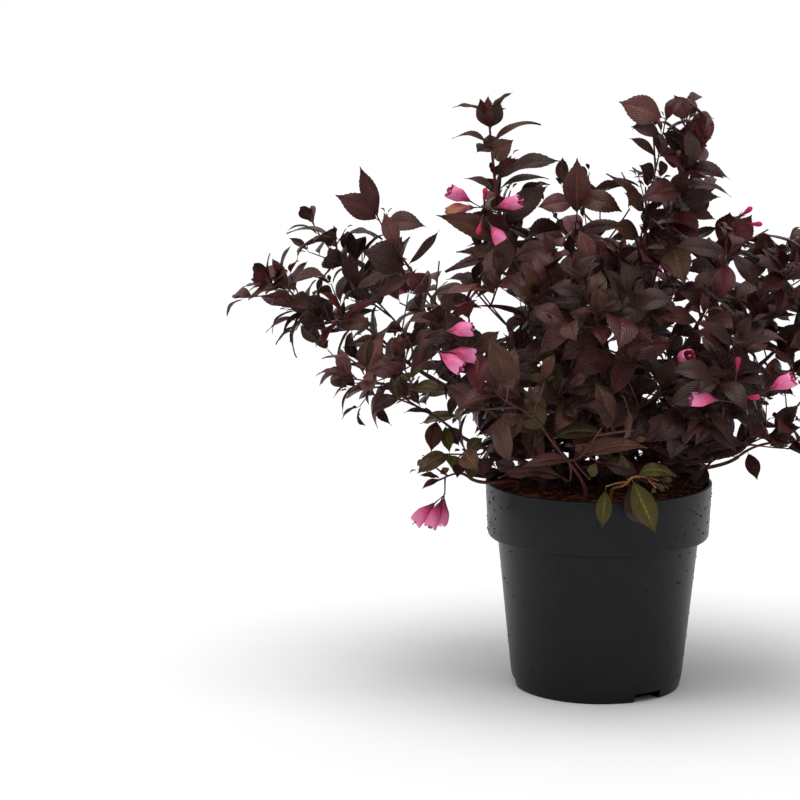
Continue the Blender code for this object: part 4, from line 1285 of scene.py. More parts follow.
def blend(tree, share, first, second):
    """A colour between two colours, whose inputs are sockets or numbers."""
    made = put(tree, "Mix", data_type="RGBA")
    # Sockets 6 and 7 are the two colours.
    for place, value in ((0, share), (6, first), (7, second)):
        if isinstance(value, bpy.types.NodeSocket):
            tree.links.new(value, made.inputs[place])
        else:
            made.inputs[place].default_value = value
    return made.outputs[2]


COLOUR = "Color"
VECTOR = "Vector"
NUMBER = "Float"


def group(name, given, wanted):
    """A node group, the sockets of its named inputs, and its output end."""
    tree = bpy.data.node_groups.new(name, "ShaderNodeTree")
    for direction, sockets in (("INPUT", given), ("OUTPUT", wanted)):
        for label, kind in sockets.items():
            tree.interface.new_socket(label, in_out=direction, socket_type="NodeSocket" + kind)
    return tree, tree.nodes.new("NodeGroupInput").outputs, tree.nodes.new("NodeGroupOutput").inputs

# %% Blotches: a colour that changes in soft patches
given = {"Colour": COLOUR, "Patch Colour": COLOUR, "Patches per Metre": NUMBER, "Amount": NUMBER}
blotches, given, wanted = group("Blotches", given, {"Result": COLOUR})
links = {"Vector": put(blotches, "TexCoord").outputs["Object"], "Scale": given["Patches per Metre"]}
patches = put(blotches, "TexNoise", links, {"Detail": 4, "Roughness": 0.6}).outputs["Fac"]
lifted = maths(blotches, "SUBTRACT", patches, 0.38)
share = maths(blotches, "MULTIPLY", lifted, maths(blotches, "MULTIPLY", given["Amount"], 4))
kept = put(blotches, "Clamp", {"Value": share}).outputs[0]
result = blend(blotches, kept, given["Colour"], given["Patch Colour"])
blotches.links.new(result, wanted["Result"])

# %% Grain: a fine relief for a Bump node, and a roughness that goes with it
given = {"Grains per Metre": NUMBER, "Stretch": VECTOR, "Roughness": NUMBER, "Roughness Change": NUMBER}
grain, given, wanted = group("Grain", given, {"Height": NUMBER, "Rough": NUMBER})
place = put(grain, "TexCoord").outputs["Object"]
stretched = put(grain, "VectorMath", {0: place, 1: given["Stretch"]}, operation="MULTIPLY")
links = {"Vector": stretched.outputs[0], "Scale": given["Grains per Metre"]}
grains = put(grain, "TexNoise", links, {"Detail": 5, "Roughness": 0.65}).outputs["Fac"]
change = maths(grain, "MULTIPLY", maths(grain, "SUBTRACT", grains, 0.5), given["Roughness Change"])
grain.links.new(grains, wanted["Height"])
grain.links.new(maths(grain, "MULTIPLY_ADD", change, 4, given["Roughness"]), wanted["Rough"])

# %% Veins: the midrib and side veins of a leaf, from its place on the skin
given = {"Blade Colour": COLOUR, "Vein Colour": COLOUR, "Vein Pairs": NUMBER, "Vein Strength": NUMBER}
veins, given, wanted = group("Leaf Veins", given, {"Colour": COLOUR, "Height": NUMBER})
skin = put(veins, "UVMap", uv_map="skin").outputs[0]
split = put(veins, "SeparateXYZ", {0: skin}).outputs
across = maths(veins, "ABSOLUTE", maths(veins, "MULTIPLY_ADD", split[0], 2, -1))
# Side veins leave the midrib forward, and curve on towards the tip.
swept = maths(veins, "MULTIPLY", maths(veins, "POWER", across, 1.3), 0.58)
count = maths(veins, "MULTIPLY", maths(veins, "SUBTRACT", split[1], swept), given["Vein Pairs"])
saw = maths(veins, "ABSOLUTE", maths(veins, "MULTIPLY_ADD", maths(veins, "FRACT", count), 2, -1))
side_veins = maths(veins, "POWER", saw, 5)
midrib = maths(veins, "POWER", maths(veins, "SUBTRACT", 1, across), 18)
both = maths(veins, "MULTIPLY_ADD", side_veins, 0.6, midrib)
clamped = put(veins, "Clamp", {"Value": both}).outputs[0]
shown = maths(veins, "MULTIPLY", clamped, given["Vein Strength"])
colour = blend(veins, shown, given["Blade Colour"], given["Vein Colour"])
# The blade bulges a little between its veins.
quilted = maths(veins, "SUBTRACT", 1, maths(veins, "POWER", saw, 3))
height = maths(veins, "SUBTRACT", quilted, maths(veins, "MULTIPLY", midrib, 1.2))
veins.links.new(colour, wanted["Colour"])
veins.links.new(height, wanted["Height"])
print("Node groups:", [tree.name for tree in bpy.data.node_groups])

# %% A material to start from
def new_material(name, **plain):
    """A material, its node tree and its shader, with plain values on the shader's sockets."""
    made = bpy.data.materials.new(name)
    made.use_nodes = True
    tree = made.node_tree
    shader = tree.nodes["Principled BSDF"]
    for key, value in plain.items():
        shader.inputs[key.replace("_", " ")].default_value = value
    return made, tree, shader


def blotched(tree, colour, patch, patches, amount):
    """The blotches placed in a material, as a colour."""
    values = {"Colour": (*colour, 1), "Patch Colour": (*patch, 1)}
    values |= {"Patches per Metre": patches, "Amount": amount}
    return put(tree, "Group", None, values, node_tree=blotches).outputs["Result"]


def add_grain(tree, shader, grains, roughness, change, stretch=1):
    """The grain placed in a material, which sets its roughness. Returns the relief."""
    values = {"Grains per Metre": grains, "Stretch": (1, 1, stretch)}
    values |= {"Roughness": roughness, "Roughness Change": change}
    made = put(tree, "Group", None, values, node_tree=grain)
    tree.links.new(made.outputs["Rough"], shader.inputs["Roughness"])
    return made.outputs["Height"]


def add_bump(tree, shader, height, depth, strength):
    """A relief of the given depth in metres on the shader."""
    values = {"Distance": depth, "Strength": strength}
    bump = put(tree, "Bump", {"Height": height}, values)
    tree.links.new(bump.outputs[0], shader.inputs["Normal"])


# Each kind of rough finish: patches per metre and their amount, grains per metre, the change in
# roughness, the stretch of the grain, the depth and strength of the relief, and the shine.
BARK = (160, 0.7, 1100, 0.2, 0.22, 0.0003, 0.6, 0.35)
EARTH = (240, 0.8, 1300, 0.3, 1, 0.0006, 0.8, 0.3)
PLASTIC = (22, 0.7, 1500, 0.12, 0.6, 0.00012, 0.5, 0.21)


def rough_finish(name, kind, colour, patch, roughness):
    """Bark, earth or plastic: blotched colour over a grain."""
    patches, amount, grains, change, stretch, depth, strength, shine = kind
    made, tree, shader = new_material(name, Specular_IOR_Level=shine)
    tree.links.new(blotched(tree, colour, patch, patches, amount), shader.inputs["Base Color"])
    relief = add_grain(tree, shader, grains, roughness, change, stretch)
    add_bump(tree, shader, relief, depth, strength)
    return made


def plain_finish(name, colour, patch, patches, amount=0.5, **plain):
    """A smooth surface with faint blotches."""
    made, tree, shader = new_material(name, **plain)
    tree.links.new(blotched(tree, colour, patch, patches, amount), shader.inputs["Base Color"])
    return made

# %% [markdown]
# ## The stems
#
# The old wood of a weigela is grey-brown and finely fissured along its length, and the young wood
# is smooth and red-brown. A bump alone would leave the outline of a stem as smooth as a pipe, so
# the relief is in the mesh: rings swell where leaves once stood, and noise cuts shallow furrows.

# %% Bark finishes
OLD_BARK = rough_finish("old bark", BARK, (0.078, 0.034, 0.023), (0.026, 0.011, 0.009), 0.78)
YOUNG_BARK = rough_finish("young bark", BARK, (0.105, 0.022, 0.018), (0.040, 0.011, 0.010), 0.52)
RED_BARK = rough_finish("red bark", BARK, (0.125, 0.027, 0.021), (0.055, 0.014, 0.012), 0.50)
GOLD_BARK = rough_finish("golden bark", BARK, (0.300, 0.130, 0.040), (0.150, 0.050, 0.018), 0.50)
print("Bark finishes:", OLD_BARK.name, "and", YOUNG_BARK.name)

# %% Build the stems
STEM_SIDES = 12
STEM_STEP = 0.0030
NODE_SPACING = 0.038
NODE_SWELL = 0.14
NODE_LENGTH = 0.0035
FURROW_DEPTH = 0.10
STEM_SUNK = 0.006
STEM_THINNING = {"stem_front_left": 0.62, "twig_front_right": 0.70}
STEM_FINISHES = {name: 1 for name in BARE_STEMS[:4]} | {"twig_front_right": 2}


def smooth_path(path, step, scale=1):
    """Points and scaled radii at an even step along a path."""
    count = max(3, round(path_length(path) / step))
    found = [point_on(path, place / count) for place in range(count + 1)]
    return [place for place, _, _ in found], [radius * scale for _, _, radius in found]


def swollen(radii, length, spacing, phase):
    """Radii that swell at evenly spaced nodes."""
    made = []
    for order, radius in enumerate(radii):
        along = length * order / (len(radii) - 1)
        off = (along - phase + spacing / 2) % spacing - spacing / 2
        made.append(radius * (1 + NODE_SWELL * math.exp(-((off / NODE_LENGTH) ** 2))))
    return made


def furrowed(points, radii, sides, depth, seed):
    """A radius for every corner of a tube, with shallow furrows that run along it."""
    made = []
    along = 0
    for order, (point, radius) in enumerate(zip(points, radii)):
        if order:
            along += (point - points[order - 1]).length
        row = []
        for turn in range(sides):
            angle = 2 * math.pi * turn / sides
            place = Vector((2.2 * math.cos(angle), 2.2 * math.sin(angle), along * 70 + seed))
            row.append(radius * (1 + depth * noise.noise(place)))
        made.append(row)
    return made


stem_bag = Bag()
for order, (name, path) in enumerate(fine_boughs.items()):
    points, radii = smooth_path(path, STEM_STEP, STEM_THINNING.get(name, 1))
    radii = swollen(radii, path_length(path), NODE_SPACING, 0.012 + 0.003 * (order % 5))
    points.insert(0, points[0] - UP * STEM_SUNK)
    radii.insert(0, radii[0] * 1.1)
    uneven = furrowed(points, radii, STEM_SIDES, FURROW_DEPTH, order * 9.7)
    stem_bag.add(*tube(points, uneven, STEM_SIDES), STEM_FINISHES.get(name, 0))
stems = stem_bag.make("stems", [OLD_BARK, RED_BARK, GOLD_BARK])
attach(stems, "root")
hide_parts(*BOUGHS)

# %% [markdown]
# ## The shoots and twigs
#
# Young wood is thin and smooth, with a small swelling under each leaf pair. Curves with a bevel
# could draw it, but the tube that serves for the stems lets the nodes swell. Where a shoot leaves
# the side of a stem, its first ring is set inside the stem, so that the two look grown together.

# %% Build the shoots and twigs
SHOOT_SIDES = 8
TWIG_SIDES = 6
SHOOT_STEP = 0.004
SHOOT_THINNING = 0.80
STOUT_SHOOTS = {"foliage_left_spire": 1.35}
SHOOT_FINISHES = {"foliage_front_hanging": 2, "foliage_front_left": 1, "foliage_front_mid": 1}
COLLAR_SWELL = 1.35
SHOOT_SUNK = 0.0022


def rooted(path, inward):
    """A path with one more point that is sunk into the limb that bears it."""
    first, second = path.points[0], path.points[1]
    back = first - (second - first).normalized() * inward
    return Path([back, *path.points], [path.radii[0] * COLLAR_SWELL, *path.radii])


shoot_bag = Bag()
for order, (name, mass) in enumerate(MASSES.items()):
    finish = SHOOT_FINISHES.get(name, 0)
    path = fine_shoots[name]
    if mass.along < 1:
        path = rooted(path, SHOOT_SUNK)
    points, radii = smooth_path(path, SHOOT_STEP, STOUT_SHOOTS.get(name, SHOOT_THINNING))
    radii = swollen(radii, path_length(path), INTERNODE / 2, 0.006)
    uneven = furrowed(points, radii, SHOOT_SIDES, 0.05, order * 5.3)
    shoot_bag.add(*tube(points, uneven, SHOOT_SIDES), finish)
    for twig in [*fine_twigs[name], *extra_twigs[name]]:
        points, radii = smooth_path(twig, SHOOT_STEP)
        radii = swollen(radii, path_length(twig), INTERNODE / 2, 0.008)
        shoot_bag.add(*tube(points, radii, TWIG_SIDES), finish)
shoots_made = shoot_bag.make("shoots", [YOUNG_BARK, RED_BARK, GOLD_BARK])
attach(shoots_made, "root")
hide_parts(*MASSES)

# %% [markdown]
# ## The leaves
#
# A weigela leaf is oval with a drawn-out tip, finely toothed, folded along its midrib and arched
# backward, on a very short stalk. One flat card per leaf would be cheap, but it would vanish from
# the side. Here each leaf is a grid of seven by twenty-seven corners that numpy bends for a whole
# region at once, with a slender rib underneath that runs on into the stalk.

# %% The outline and the bends of a leaf
LEAF_STATIONS = 26
LEAF_COLUMNS = np.array([-1, -0.62, -0.14, 0, 0.14, 0.62, 1])
PETIOLE = 0.0035
BLADE_NARROWING = 0.94
TOOTH = 0.030
TOOTH_LEAN = 0.40
GROOVE = 0.00045
RIB_ROWS = (0, 2, 5, 9, 14, 19, 23)
RIB_SIDES = 3
RIB_RADIUS = 0.00055
OUTWARD_ROLL = 0.75
LEAF_RISE = 0.18
RISE_ABOVE = 0.31


def outline(share):
    """Half the width of a leaf along its length, where 1 is the widest."""
    oval = np.abs(np.sin(np.pi * share**0.90)) ** 1.12
    towards_tip = np.clip((share - 0.70) / 0.30, 0, 1)
    return oval * (1 - 0.50 * towards_tip**2 * (3 - 2 * towards_tip))


def rolled(blade):
    """A leaf that rises a little, its upper side rolled away from the middle of the shrub."""
    leaf = blade.leaf
    if blade.tint:
        return leaf
    outward = Vector((leaf.origin.x, leaf.origin.y, 0))
    if outward.length > 0.001:
        outward.normalize()
    rise = LEAF_RISE if leaf.origin.z > RISE_ABOVE else 0
    along = (leaf.along + UP * rise).normalized()
    return leaf._replace(along=along, normal=square_to(along, leaf.normal + outward * OUTWARD_ROLL))


def leaf_numbers(name, order, blade):
    """How one leaf is folded, curled, waved and twisted."""
    rng = chance(name, "blade", order)
    fold = math.radians(rng.uniform(12, 42) + 18 * blade.young)
    curl = rng.uniform(-0.15, 0.50) * (1 - blade.young)
    twist = math.radians(rng.uniform(-24, 24))
    if blade.tint:
        fold, curl, twist = 0.85 * fold, 0.3 * curl, 0.35 * twist
    return fold, curl, twist, rng.uniform(0.008, 0.026), rng.uniform(0, 6.28), rng.uniform(1.2, 2.4)

# %% Bend all leaves of a region at once
def times(vectors, amounts):
    """Each vector times each amount in its own row."""
    return vectors[..., None, :] * amounts[..., None]


def leaf_grids(leaves, numbers):
    """Corners (leaf, station, column, 3), and the lines of the ribs with their frames."""
    columns = [np.array(column) for column in zip(*leaves)]
    origin, along, normal, length, width, bend = columns
    fold, curl, twist, wave, phase, waves = np.array(numbers).T[:, :, None]
    side = np.cross(along, normal)
    share = np.linspace(0, 1, LEAF_STATIONS + 1)[None]
    blade_length = (length - PETIOLE)[:, None]

    # The midrib rises and then arches over, and keeps its length.
    slope = np.arctan(bend[:, None] * (2.03 - 6.06 * share)) - curl * share**2
    step = blade_length / LEAF_STATIONS
    run = np.cumsum(np.cos(slope) * step, axis=1) - np.cos(slope[:, :1]) * step
    rise = np.cumsum(np.sin(slope) * step, axis=1) - np.sin(slope[:, :1]) * step
    line = origin[:, None] + times(along, PETIOLE + run) + times(normal, rise)
    forward = times(along, np.cos(slope)) + times(normal, np.sin(slope))
    upward = times(normal, np.cos(slope)) - times(along, np.sin(slope))
    turn = twist * (share - 0.2)
    level = times(side, np.cos(turn)) + upward * np.sin(turn)[..., None]
    upward = upward * np.cos(turn)[..., None] - times(side, np.sin(turn))

    # Each half blade is folded up from the midrib, and its margin is waved and toothed.
    half = BLADE_NARROWING * width[:, None] / 2 * outline(share)
    column = LEAF_COLUMNS[None, None]
    edge = np.abs(column)
    tooth = np.where(np.arange(LEAF_STATIONS + 1) % 2, TOOTH, -TOOTH / 3)[None, :, None]
    reach = half[..., None] * column * (1 + tooth * (edge == 1))
    tilt = (fold * (1.1 - 0.5 * share))[..., None]
    lift = np.abs(reach) * np.sin(tilt) - 0.9 * half[..., None] * edge**2.2 * np.sin(tilt * 0.8)
    ripple = np.sin(2 * np.pi * waves[..., None] * share[..., None] + phase[..., None] + column)
    lift = lift + wave[..., None] * blade_length[..., None] * edge**2 * ripple
    lift = lift - GROOVE * (edge == 0)
    lean = TOOTH_LEAN * step[..., None] * (np.arange(LEAF_STATIONS + 1) % 2)[None, :, None] * (edge == 1)
    corners = line[:, :, None] + times(level, reach * np.cos(tilt))
    corners = corners + times(upward, lift) + times(forward, lean)
    return corners, line, upward

# %% [markdown]
# ## Leaf colours
#
# The leaves are purple-brown to nearly black, with a dull sheen above and a paler, redder underside.
# The youngest are wine red, and the low, shaded ones turn bronze and then yellow-green with light
# veins. Each spray takes one colour from a short list, as real shoots do, so no picture is needed
# to say where the colours lie.

# %% Leaf finishes
# In ten-thousandths, each row is the red, green and blue of the blade, its veins and its underside,
# then the strength of the veins, and for the low leaves the colour of their patches.
TINTS = {}
for name, *numbers in rows_of("""
black 395 135 96 960 330 230 540 205 170 7000
purple 660 140 128 1600 340 320 860 250 260 7500
umber 780 280 172 1750 680 410 900 360 250 8000
mauve 1350 450 400 3500 1300 1080 1600 610 530 9500
wine 1020 115 135 2200 230 270 1350 235 255 6500
bronze 1320 560 350 3300 1600 800 1400 680 420 9500
olive 600 440 120 2800 2250 380 850 650 230 7500 450 220 110
green 580 500 70 3400 2900 360 1050 880 190 7500 460 170 80
"""):
    TINTS[name] = [int(number) / 10000 for number in numbers]
PATCH_DEPTH = 0.55
LEAF_SHINE = 0.32
VEIN_RELIEF = 0.00075


def leaf_finish(name, numbers):
    """A leaf: veined colour with darker patches, a paler underside and a dull sheen."""
    blade, vein, under, dark = (numbers[start : start + 3] for start in (0, 3, 6, 10))
    made, tree, shader = new_material("leaf " + name, Specular_IOR_Level=LEAF_SHINE)
    dark = dark or [PATCH_DEPTH * value for value in blade]
    links = {"Blade Colour": blotched(tree, blade, dark, 75, 0.5)}
    values = {"Vein Colour": (*vein, 1), "Vein Pairs": 9, "Vein Strength": numbers[9]}
    veined = put(tree, "Group", links, values, node_tree=veins)
    back = put(tree, "NewGeometry").outputs["Backfacing"]
    colour = blend(tree, back, veined.outputs["Colour"], (*under, 1))
    tree.links.new(colour, shader.inputs["Base Color"])
    add_grain(tree, shader, 500, 0.30, 0.16)
    add_bump(tree, shader, veined.outputs["Height"], VEIN_RELIEF, 0.7)
    return made


def stalk_finish(name, colour):
    """A leaf stalk or rib: smooth, with faint patches."""
    return plain_finish(name, colour, [PATCH_DEPTH * value for value in colour], 220, Roughness=0.5)


leaf_finishes = [leaf_finish(name, numbers) for name, numbers in TINTS.items()]
leaf_finishes.append(stalk_finish("red stalk", (0.060, 0.014, 0.017)))
leaf_finishes.append(stalk_finish("green stalk", (0.170, 0.150, 0.045)))
print("Leaf colours:", list(TINTS))

# %% Deal the colours out by spray
COLOURS = {
    "dark": "black black purple purple purple umber umber umber mauve wine".split(),
    "shaded": "umber olive black black umber black".split(),
    "bronzed": "bronze umber umber purple".split(),
    "greened": "green olive green bronze".split(),
    # The next list leans to black leaves: a painted shade for the low masses on the right of the shrub.
    "night": "black black purple black umber".split(),
    "browned": "umber bronze umber black".split(),
    "mixed": "black umber purple black umber".split(),
    "warm": "umber umber black purple".split(),
}
COLOUR_NAMES = list(TINTS)
STRAY = 0.16


def colour_of(name, order, blade):
    """The finish of one leaf: its spray's colour, wine red when young, and now and then another."""
    choices = COLOURS[MASSES[name].colours]
    rng = chance(name, "stray", order)
    if blade.tint:
        colour = blade.tint
    elif blade.young and choices is COLOURS["dark"]:
        colour = "wine"
    elif rng.random() < STRAY:
        colour = rng.choice(choices)
    else:
        colour = chance(name, "colour", blade.spray).choice(choices)
    return COLOUR_NAMES.index(colour)

# %% Build the leaves, region by region
REGIONS = ("back_left", "back_right", "front", "left", "far_left", "right", "far_right", "crown")


def region_of(name):
    """Which joined piece a mass's leaves belong to."""
    plain = name.removeprefix("foliage_")
    if plain.startswith("back"):
        return "back_left" if "left" in plain or "crest" in plain or "flank" in plain else "back_right"
    if plain.startswith("front"):
        return "front"
    side = "left" if "left" in plain else "right" if "right" in plain else ""
    if not side:
        return "crown"
    return "far_" + side if "far" in plain or "low" in plain else side


blade_faces = grid_faces(LEAF_STATIONS + 1, len(LEAF_COLUMNS), False)
across_skin, along_skin = np.meshgrid(0.5 + 0.5 * LEAF_COLUMNS, np.linspace(0, 1, LEAF_STATIONS + 1))
blade_places = np.stack([across_skin, along_skin], axis=-1).reshape(-1, 2)
red_stalk = len(TINTS)


def add_region(bag, names):
    """Every leaf of several masses, with its rib and stalk."""
    found = [(name, order, blade) for name in names for order, blade in enumerate(blades[name])]
    leaves = [rolled(blade) for _, _, blade in found]
    numbers = [leaf_numbers(*each) for each in found]
    rows = list(RIB_ROWS)
    for (name, order, blade), grid, line, upward in zip(found, *leaf_grids(leaves, numbers)):
        finish = colour_of(name, order, blade)
        bag.add(grid, blade_faces, finish, blade_places)
        points = [blade.leaf.origin, *map(Vector, line[rows] - upward[rows] * GROOVE * 1.4)]
        thick = RIB_RADIUS * (blade.leaf.length / LEAF_LENGTH)
        radii = [thick * (1.25 - place / len(rows)) for place in range(len(points))]
        rib_finish = red_stalk + (COLOUR_NAMES[finish] in ("green", "olive"))
        bag.add(*tube(points, radii, RIB_SIDES), rib_finish)


for region in REGIONS:
    names = [name for name in MASSES if region_of(name) == region]
    bag = Bag()
    add_region(bag, names)
    leaves_made = bag.make("leaves_" + region, leaf_finishes)
    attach(leaves_made, "root")
    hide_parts(*names)

# %% [markdown]
# ## The blossom
#
# A weigela flower is a funnel: a narrow tube that widens into a bell and ends in five rounded
# lobes, carmine at its root and paler within, held by five thin dark sepals. A turned solid would
# have no lobes, so the funnel is a grid whose radius and rim change round it. Buds are slender
# clubs of deeper pink, and old flowers shrivel to a rusty pink.

# %% Petal finishes
def petal_finish(name, root, middle, rim_and_highlight, inside):
    """A petal: colours that run from root to a pale rim, fine pale streaks, and a paler inside. The pale
    rim and streaks are partly the petal's own colour, partly a painted highlight.
    """
    made, tree, shader = new_material(name, Roughness=0.48, Specular_IOR_Level=0.35)
    shader.inputs["Subsurface Weight"].default_value = 0.12
    shader.inputs["Subsurface Radius"].default_value = (0.004, 0.0015, 0.002)
    skin = put(tree, "UVMap", uv_map="skin").outputs[0]
    split = put(tree, "SeparateXYZ", {0: skin})
    lower = put(tree, "MapRange", {0: split.outputs[1]}, {1: 0.02, 2: 0.40}).outputs[0]
    upper = put(tree, "MapRange", {0: split.outputs[1]}, {1: 0.30, 2: 0.95}).outputs[0]
    # The pale rim colour is partly the lobes' own paler pink and partly a painted highlight.
    run = blend(tree, upper, blend(tree, lower, (*root, 1), (*middle, 1)), (*rim_and_highlight, 1))
    stretched = put(tree, "VectorMath", {0: skin}, {1: (30, 5, 1)}, operation="MULTIPLY")
    links = {"Vector": stretched.outputs[0]}
    streaks = put(tree, "TexNoise", links, {"Scale": 1, "Detail": 3}).outputs["Fac"]
    sharp = maths(tree, "MULTIPLY", maths(tree, "SUBTRACT", streaks, 0.42), 3.2)
    kept = put(tree, "Clamp", {"Value": sharp}).outputs[0]
    # The streaks blend towards the pale rim colour: partly the petal's own markings, partly a painted
    # highlight.
    streaked_and_highlit = blend(tree, maths(tree, "MULTIPLY", kept, 0.55), run, (*rim_and_highlight, 1))
    back = put(tree, "NewGeometry").outputs["Backfacing"]
    colour = blend(tree, back, streaked_and_highlit, (*inside, 1))
    tree.links.new(colour, shader.inputs["Base Color"])
    add_bump(tree, shader, streaks, 0.0005, 0.5)
    return made


# Each row is root, middle, rim and inside; the pale rim colour is partly a painted highlight.
PINKS = (0.34, 0.004, 0.040), (0.66, 0.026, 0.170), (0.90, 0.290, 0.520), (0.72, 0.110, 0.290)
CARMINES = (0.26, 0.006, 0.020), (0.42, 0.010, 0.050), (0.58, 0.022, 0.120), (0.50, 0.050, 0.150)
RUSTS = (0.50, 0.030, 0.090), (0.66, 0.150, 0.170), (0.60, 0.260, 0.120), (0.60, 0.250, 0.220)
PETAL = petal_finish("petal", *PINKS)
BUD_PETAL = petal_finish("bud petal", *CARMINES)
FADED = petal_finish("faded petal", *RUSTS)
SEPAL = stalk_finish("sepal", (0.045, 0.008, 0.012))
PISTIL = stalk_finish("pistil", (0.72, 0.46, 0.42))
BLOSSOM_FINISHES = [PETAL, BUD_PETAL, FADED, SEPAL, PISTIL]
print("Petal finishes:", [made.name for made in BLOSSOM_FINISHES])

# %% The frame of a flower
PETAL_TURNS = 60
PETAL_ROWS = 18
LOBES = 5
LOBE_START = 0.66
OPEN_MOUTH = 0.0074
FADED_MOUTH = 0.0046
TUBE_RADIUS = 0.0014
BELL_RADIUS = 0.0069
RUFFLE = 0.013
RUFFLES = 17


def flower_axes(flower):
    """A flower's foot, its length, and three unit vectors: along it and two across."""
    along = flower.tip - flower.stalk_end
    length = along.length
    along.normalize()
    across = square_to(along, UP + Vector((0.02, 0.01, 0)))
    return flower.stalk_end, length, along, across, along.cross(across)


def round_flower(axes, height, radius, turn, drop=0):
    """Places round a flower's axis, from their height, radius and angle, and how far they sag."""
    foot, length, along, across, beside = map(np.array, axes)
    places = foot + along * (height * length)[..., None] - np.array(UP) * np.array(drop)[..., None]
    places = places + across * (radius * np.cos(turn))[..., None]
    return places + beside * (radius * np.sin(turn))[..., None]


def smooth_step(low, high, value):
    """0 below `low`, 1 above `high`, and a smooth rise between."""
    share = np.clip((value - low) / (high - low), 0, 1)
    return share * share * (3 - 2 * share)


def skin_grid(turns):
    """The share of the length and the angle at every corner of a petal surface."""
    angles = 2 * np.pi * np.arange(turns) / turns
    return np.meshgrid(np.linspace(0, 1, PETAL_ROWS), angles, indexing="ij")


def petal_skin(share, turn):
    """The place on the skin of every corner of a petal surface."""
    return np.stack([turn / (2 * np.pi), share], axis=-1).reshape(-1, 2)

# %% An open or faded flower
def add_funnel(bag, flower, rng):
    """The corolla of a flower, with its lobes, its bend and its small irregularities."""
    axes = flower_axes(flower)
    faded = flower.kind == "faded"
    mouth = (FADED_MOUTH if faded else OPEN_MOUTH) * rng.uniform(0.88, 1.10)
    share, turn = skin_grid(PETAL_TURNS)
    spin = rng.uniform(0, 2 * math.pi)
    off_middle = 2 * np.abs((LOBES * turn / (2 * np.pi) + spin) % 1 - 0.5)
    lobe = 1 - off_middle
    gap = 1 - np.sqrt(1 - 0.98 * off_middle**2)
    beyond = np.clip((share - LOBE_START) / (1 - LOBE_START), 0, 1)
    radius = TUBE_RADIUS + (BELL_RADIUS - TUBE_RADIUS) * smooth_step(-0.03, 0.52, share)
    tight = 0.8 if faded else 1
    radius = radius * tight + (mouth - BELL_RADIUS) * beyond * (0.2 + 0.8 * lobe) - 0.0008 * beyond**3
    radius = radius * (1 + (0.10 if faded else 0.05) * np.sin(3 * turn + 9 * share + spin))
    # The rim is cut back between the lobes, and each lobe's middle is creased.
    height = share - beyond * gap * 0.34 * (1 - LOBE_START)
    height = height - 0.10 * beyond**3 * (0 if faded else 1)
    height = height + RUFFLE * beyond**2 * np.sin(RUFFLES * turn + 3 * spin)
    radius = radius * (1 - 0.04 * beyond * lobe**8 - 0.10 * beyond * off_middle**4)
    bend = axes[1] * rng.uniform(0.04, 0.12)
    places = round_flower(axes, height, radius, turn, bend * height**2)
    finish = BLOSSOM_FINISHES.index(FADED if faded else PETAL)
    bag.add(places, grid_faces(PETAL_ROWS, PETAL_TURNS, True), finish, petal_skin(share, turn))

# %% A bud
BUD_SHARES = (0, 0.18, 0.40, 0.60, 0.76, 0.88, 0.96, 1)
BUD_WIDTHS = (0.34, 0.40, 0.55, 0.86, 1.0, 0.90, 0.52, 0.06)
BUD_TURNS = 15


def add_bud(bag, flower):
    """A slender closed bud whose folded petals turn round it."""
    axes = flower_axes(flower)
    share, turn = skin_grid(BUD_TURNS)
    profile = np.interp(share, BUD_SHARES, BUD_WIDTHS) * BUD_RADIUS * 1.1
    twisted = turn + 1.4 * share
    radius = profile * (1 + 0.07 * np.cos(LOBES * turn))
    places = round_flower(axes, share, radius, twisted)
    finish = BLOSSOM_FINISHES.index(BUD_PETAL)
    bag.add(places, closed_faces(PETAL_ROWS, BUD_TURNS), finish, petal_skin(share, turn))

# %% Calyx, stalk and pistil
SEPAL_LENGTH = 0.0075
SEPAL_WIDTH = 0.0013
SEPAL_ROWS = 6


def add_calyx(bag, flower, rng):
    """Five thin sepals that stand off the foot of a flower."""
    foot, _, along, across, beside = flower_axes(flower)
    spread = rng.uniform(0.30, 0.60)
    for order in range(LOBES):
        angle = 2 * math.pi * (order + 0.3) / LOBES + rng.uniform(-0.15, 0.15)
        outward = across * math.cos(angle) + beside * math.sin(angle)
        sideways = along.cross(outward)
        rows = []
        for row in range(SEPAL_ROWS):
            share = row / (SEPAL_ROWS - 1)
            out = TUBE_RADIUS * 0.8 + SEPAL_LENGTH * (spread * share + 0.25 * share**2)
            place = foot + along * SEPAL_LENGTH * share * 0.9 + outward * out
            half = SEPAL_WIDTH / 2 * (1 - share) ** 0.7 + 0.00005
            rows += [place - sideways * half, place + outward * half * 0.3, place + sideways * half]
        bag.add(rows, grid_faces(SEPAL_ROWS, 3, False), BLOSSOM_FINISHES.index(SEPAL))


def add_pistil(bag, flower, rng):
    """The style and its round stigma, which stand a little out of the mouth."""
    foot, length, along, _, _ = flower_axes(flower)
    end = foot + along * length * rng.uniform(0.84, 0.99) - UP * length * 0.06
    finish = BLOSSOM_FINISHES.index(PISTIL)
    start = foot + along * length * 0.4
    bag.add(*tube([start, start.lerp(end, 0.5), end], [0.00028] * 3, 5), finish)
    swell = [end + along * step for step in (-0.0008, -0.0003, 0.0003, 0.0007)]
    bag.add(*tube(swell, [0.0003, 0.0010, 0.0010, 0.0003], 7), finish)


def add_stalks(bag, flower):
    """The thin stalk below a flower, which thickens into the ovary."""
    path = [flower.base, flower.base.lerp(flower.stalk_end, 0.5), flower.stalk_end]
    ovary = flower.stalk_end + (flower.tip - flower.stalk_end).normalized() * 0.0012
    finish = BLOSSOM_FINISHES.index(SEPAL)
    bag.add(*tube([*path, ovary], [0.00045, 0.00055, 0.00090, 0.00115], 7), finish)

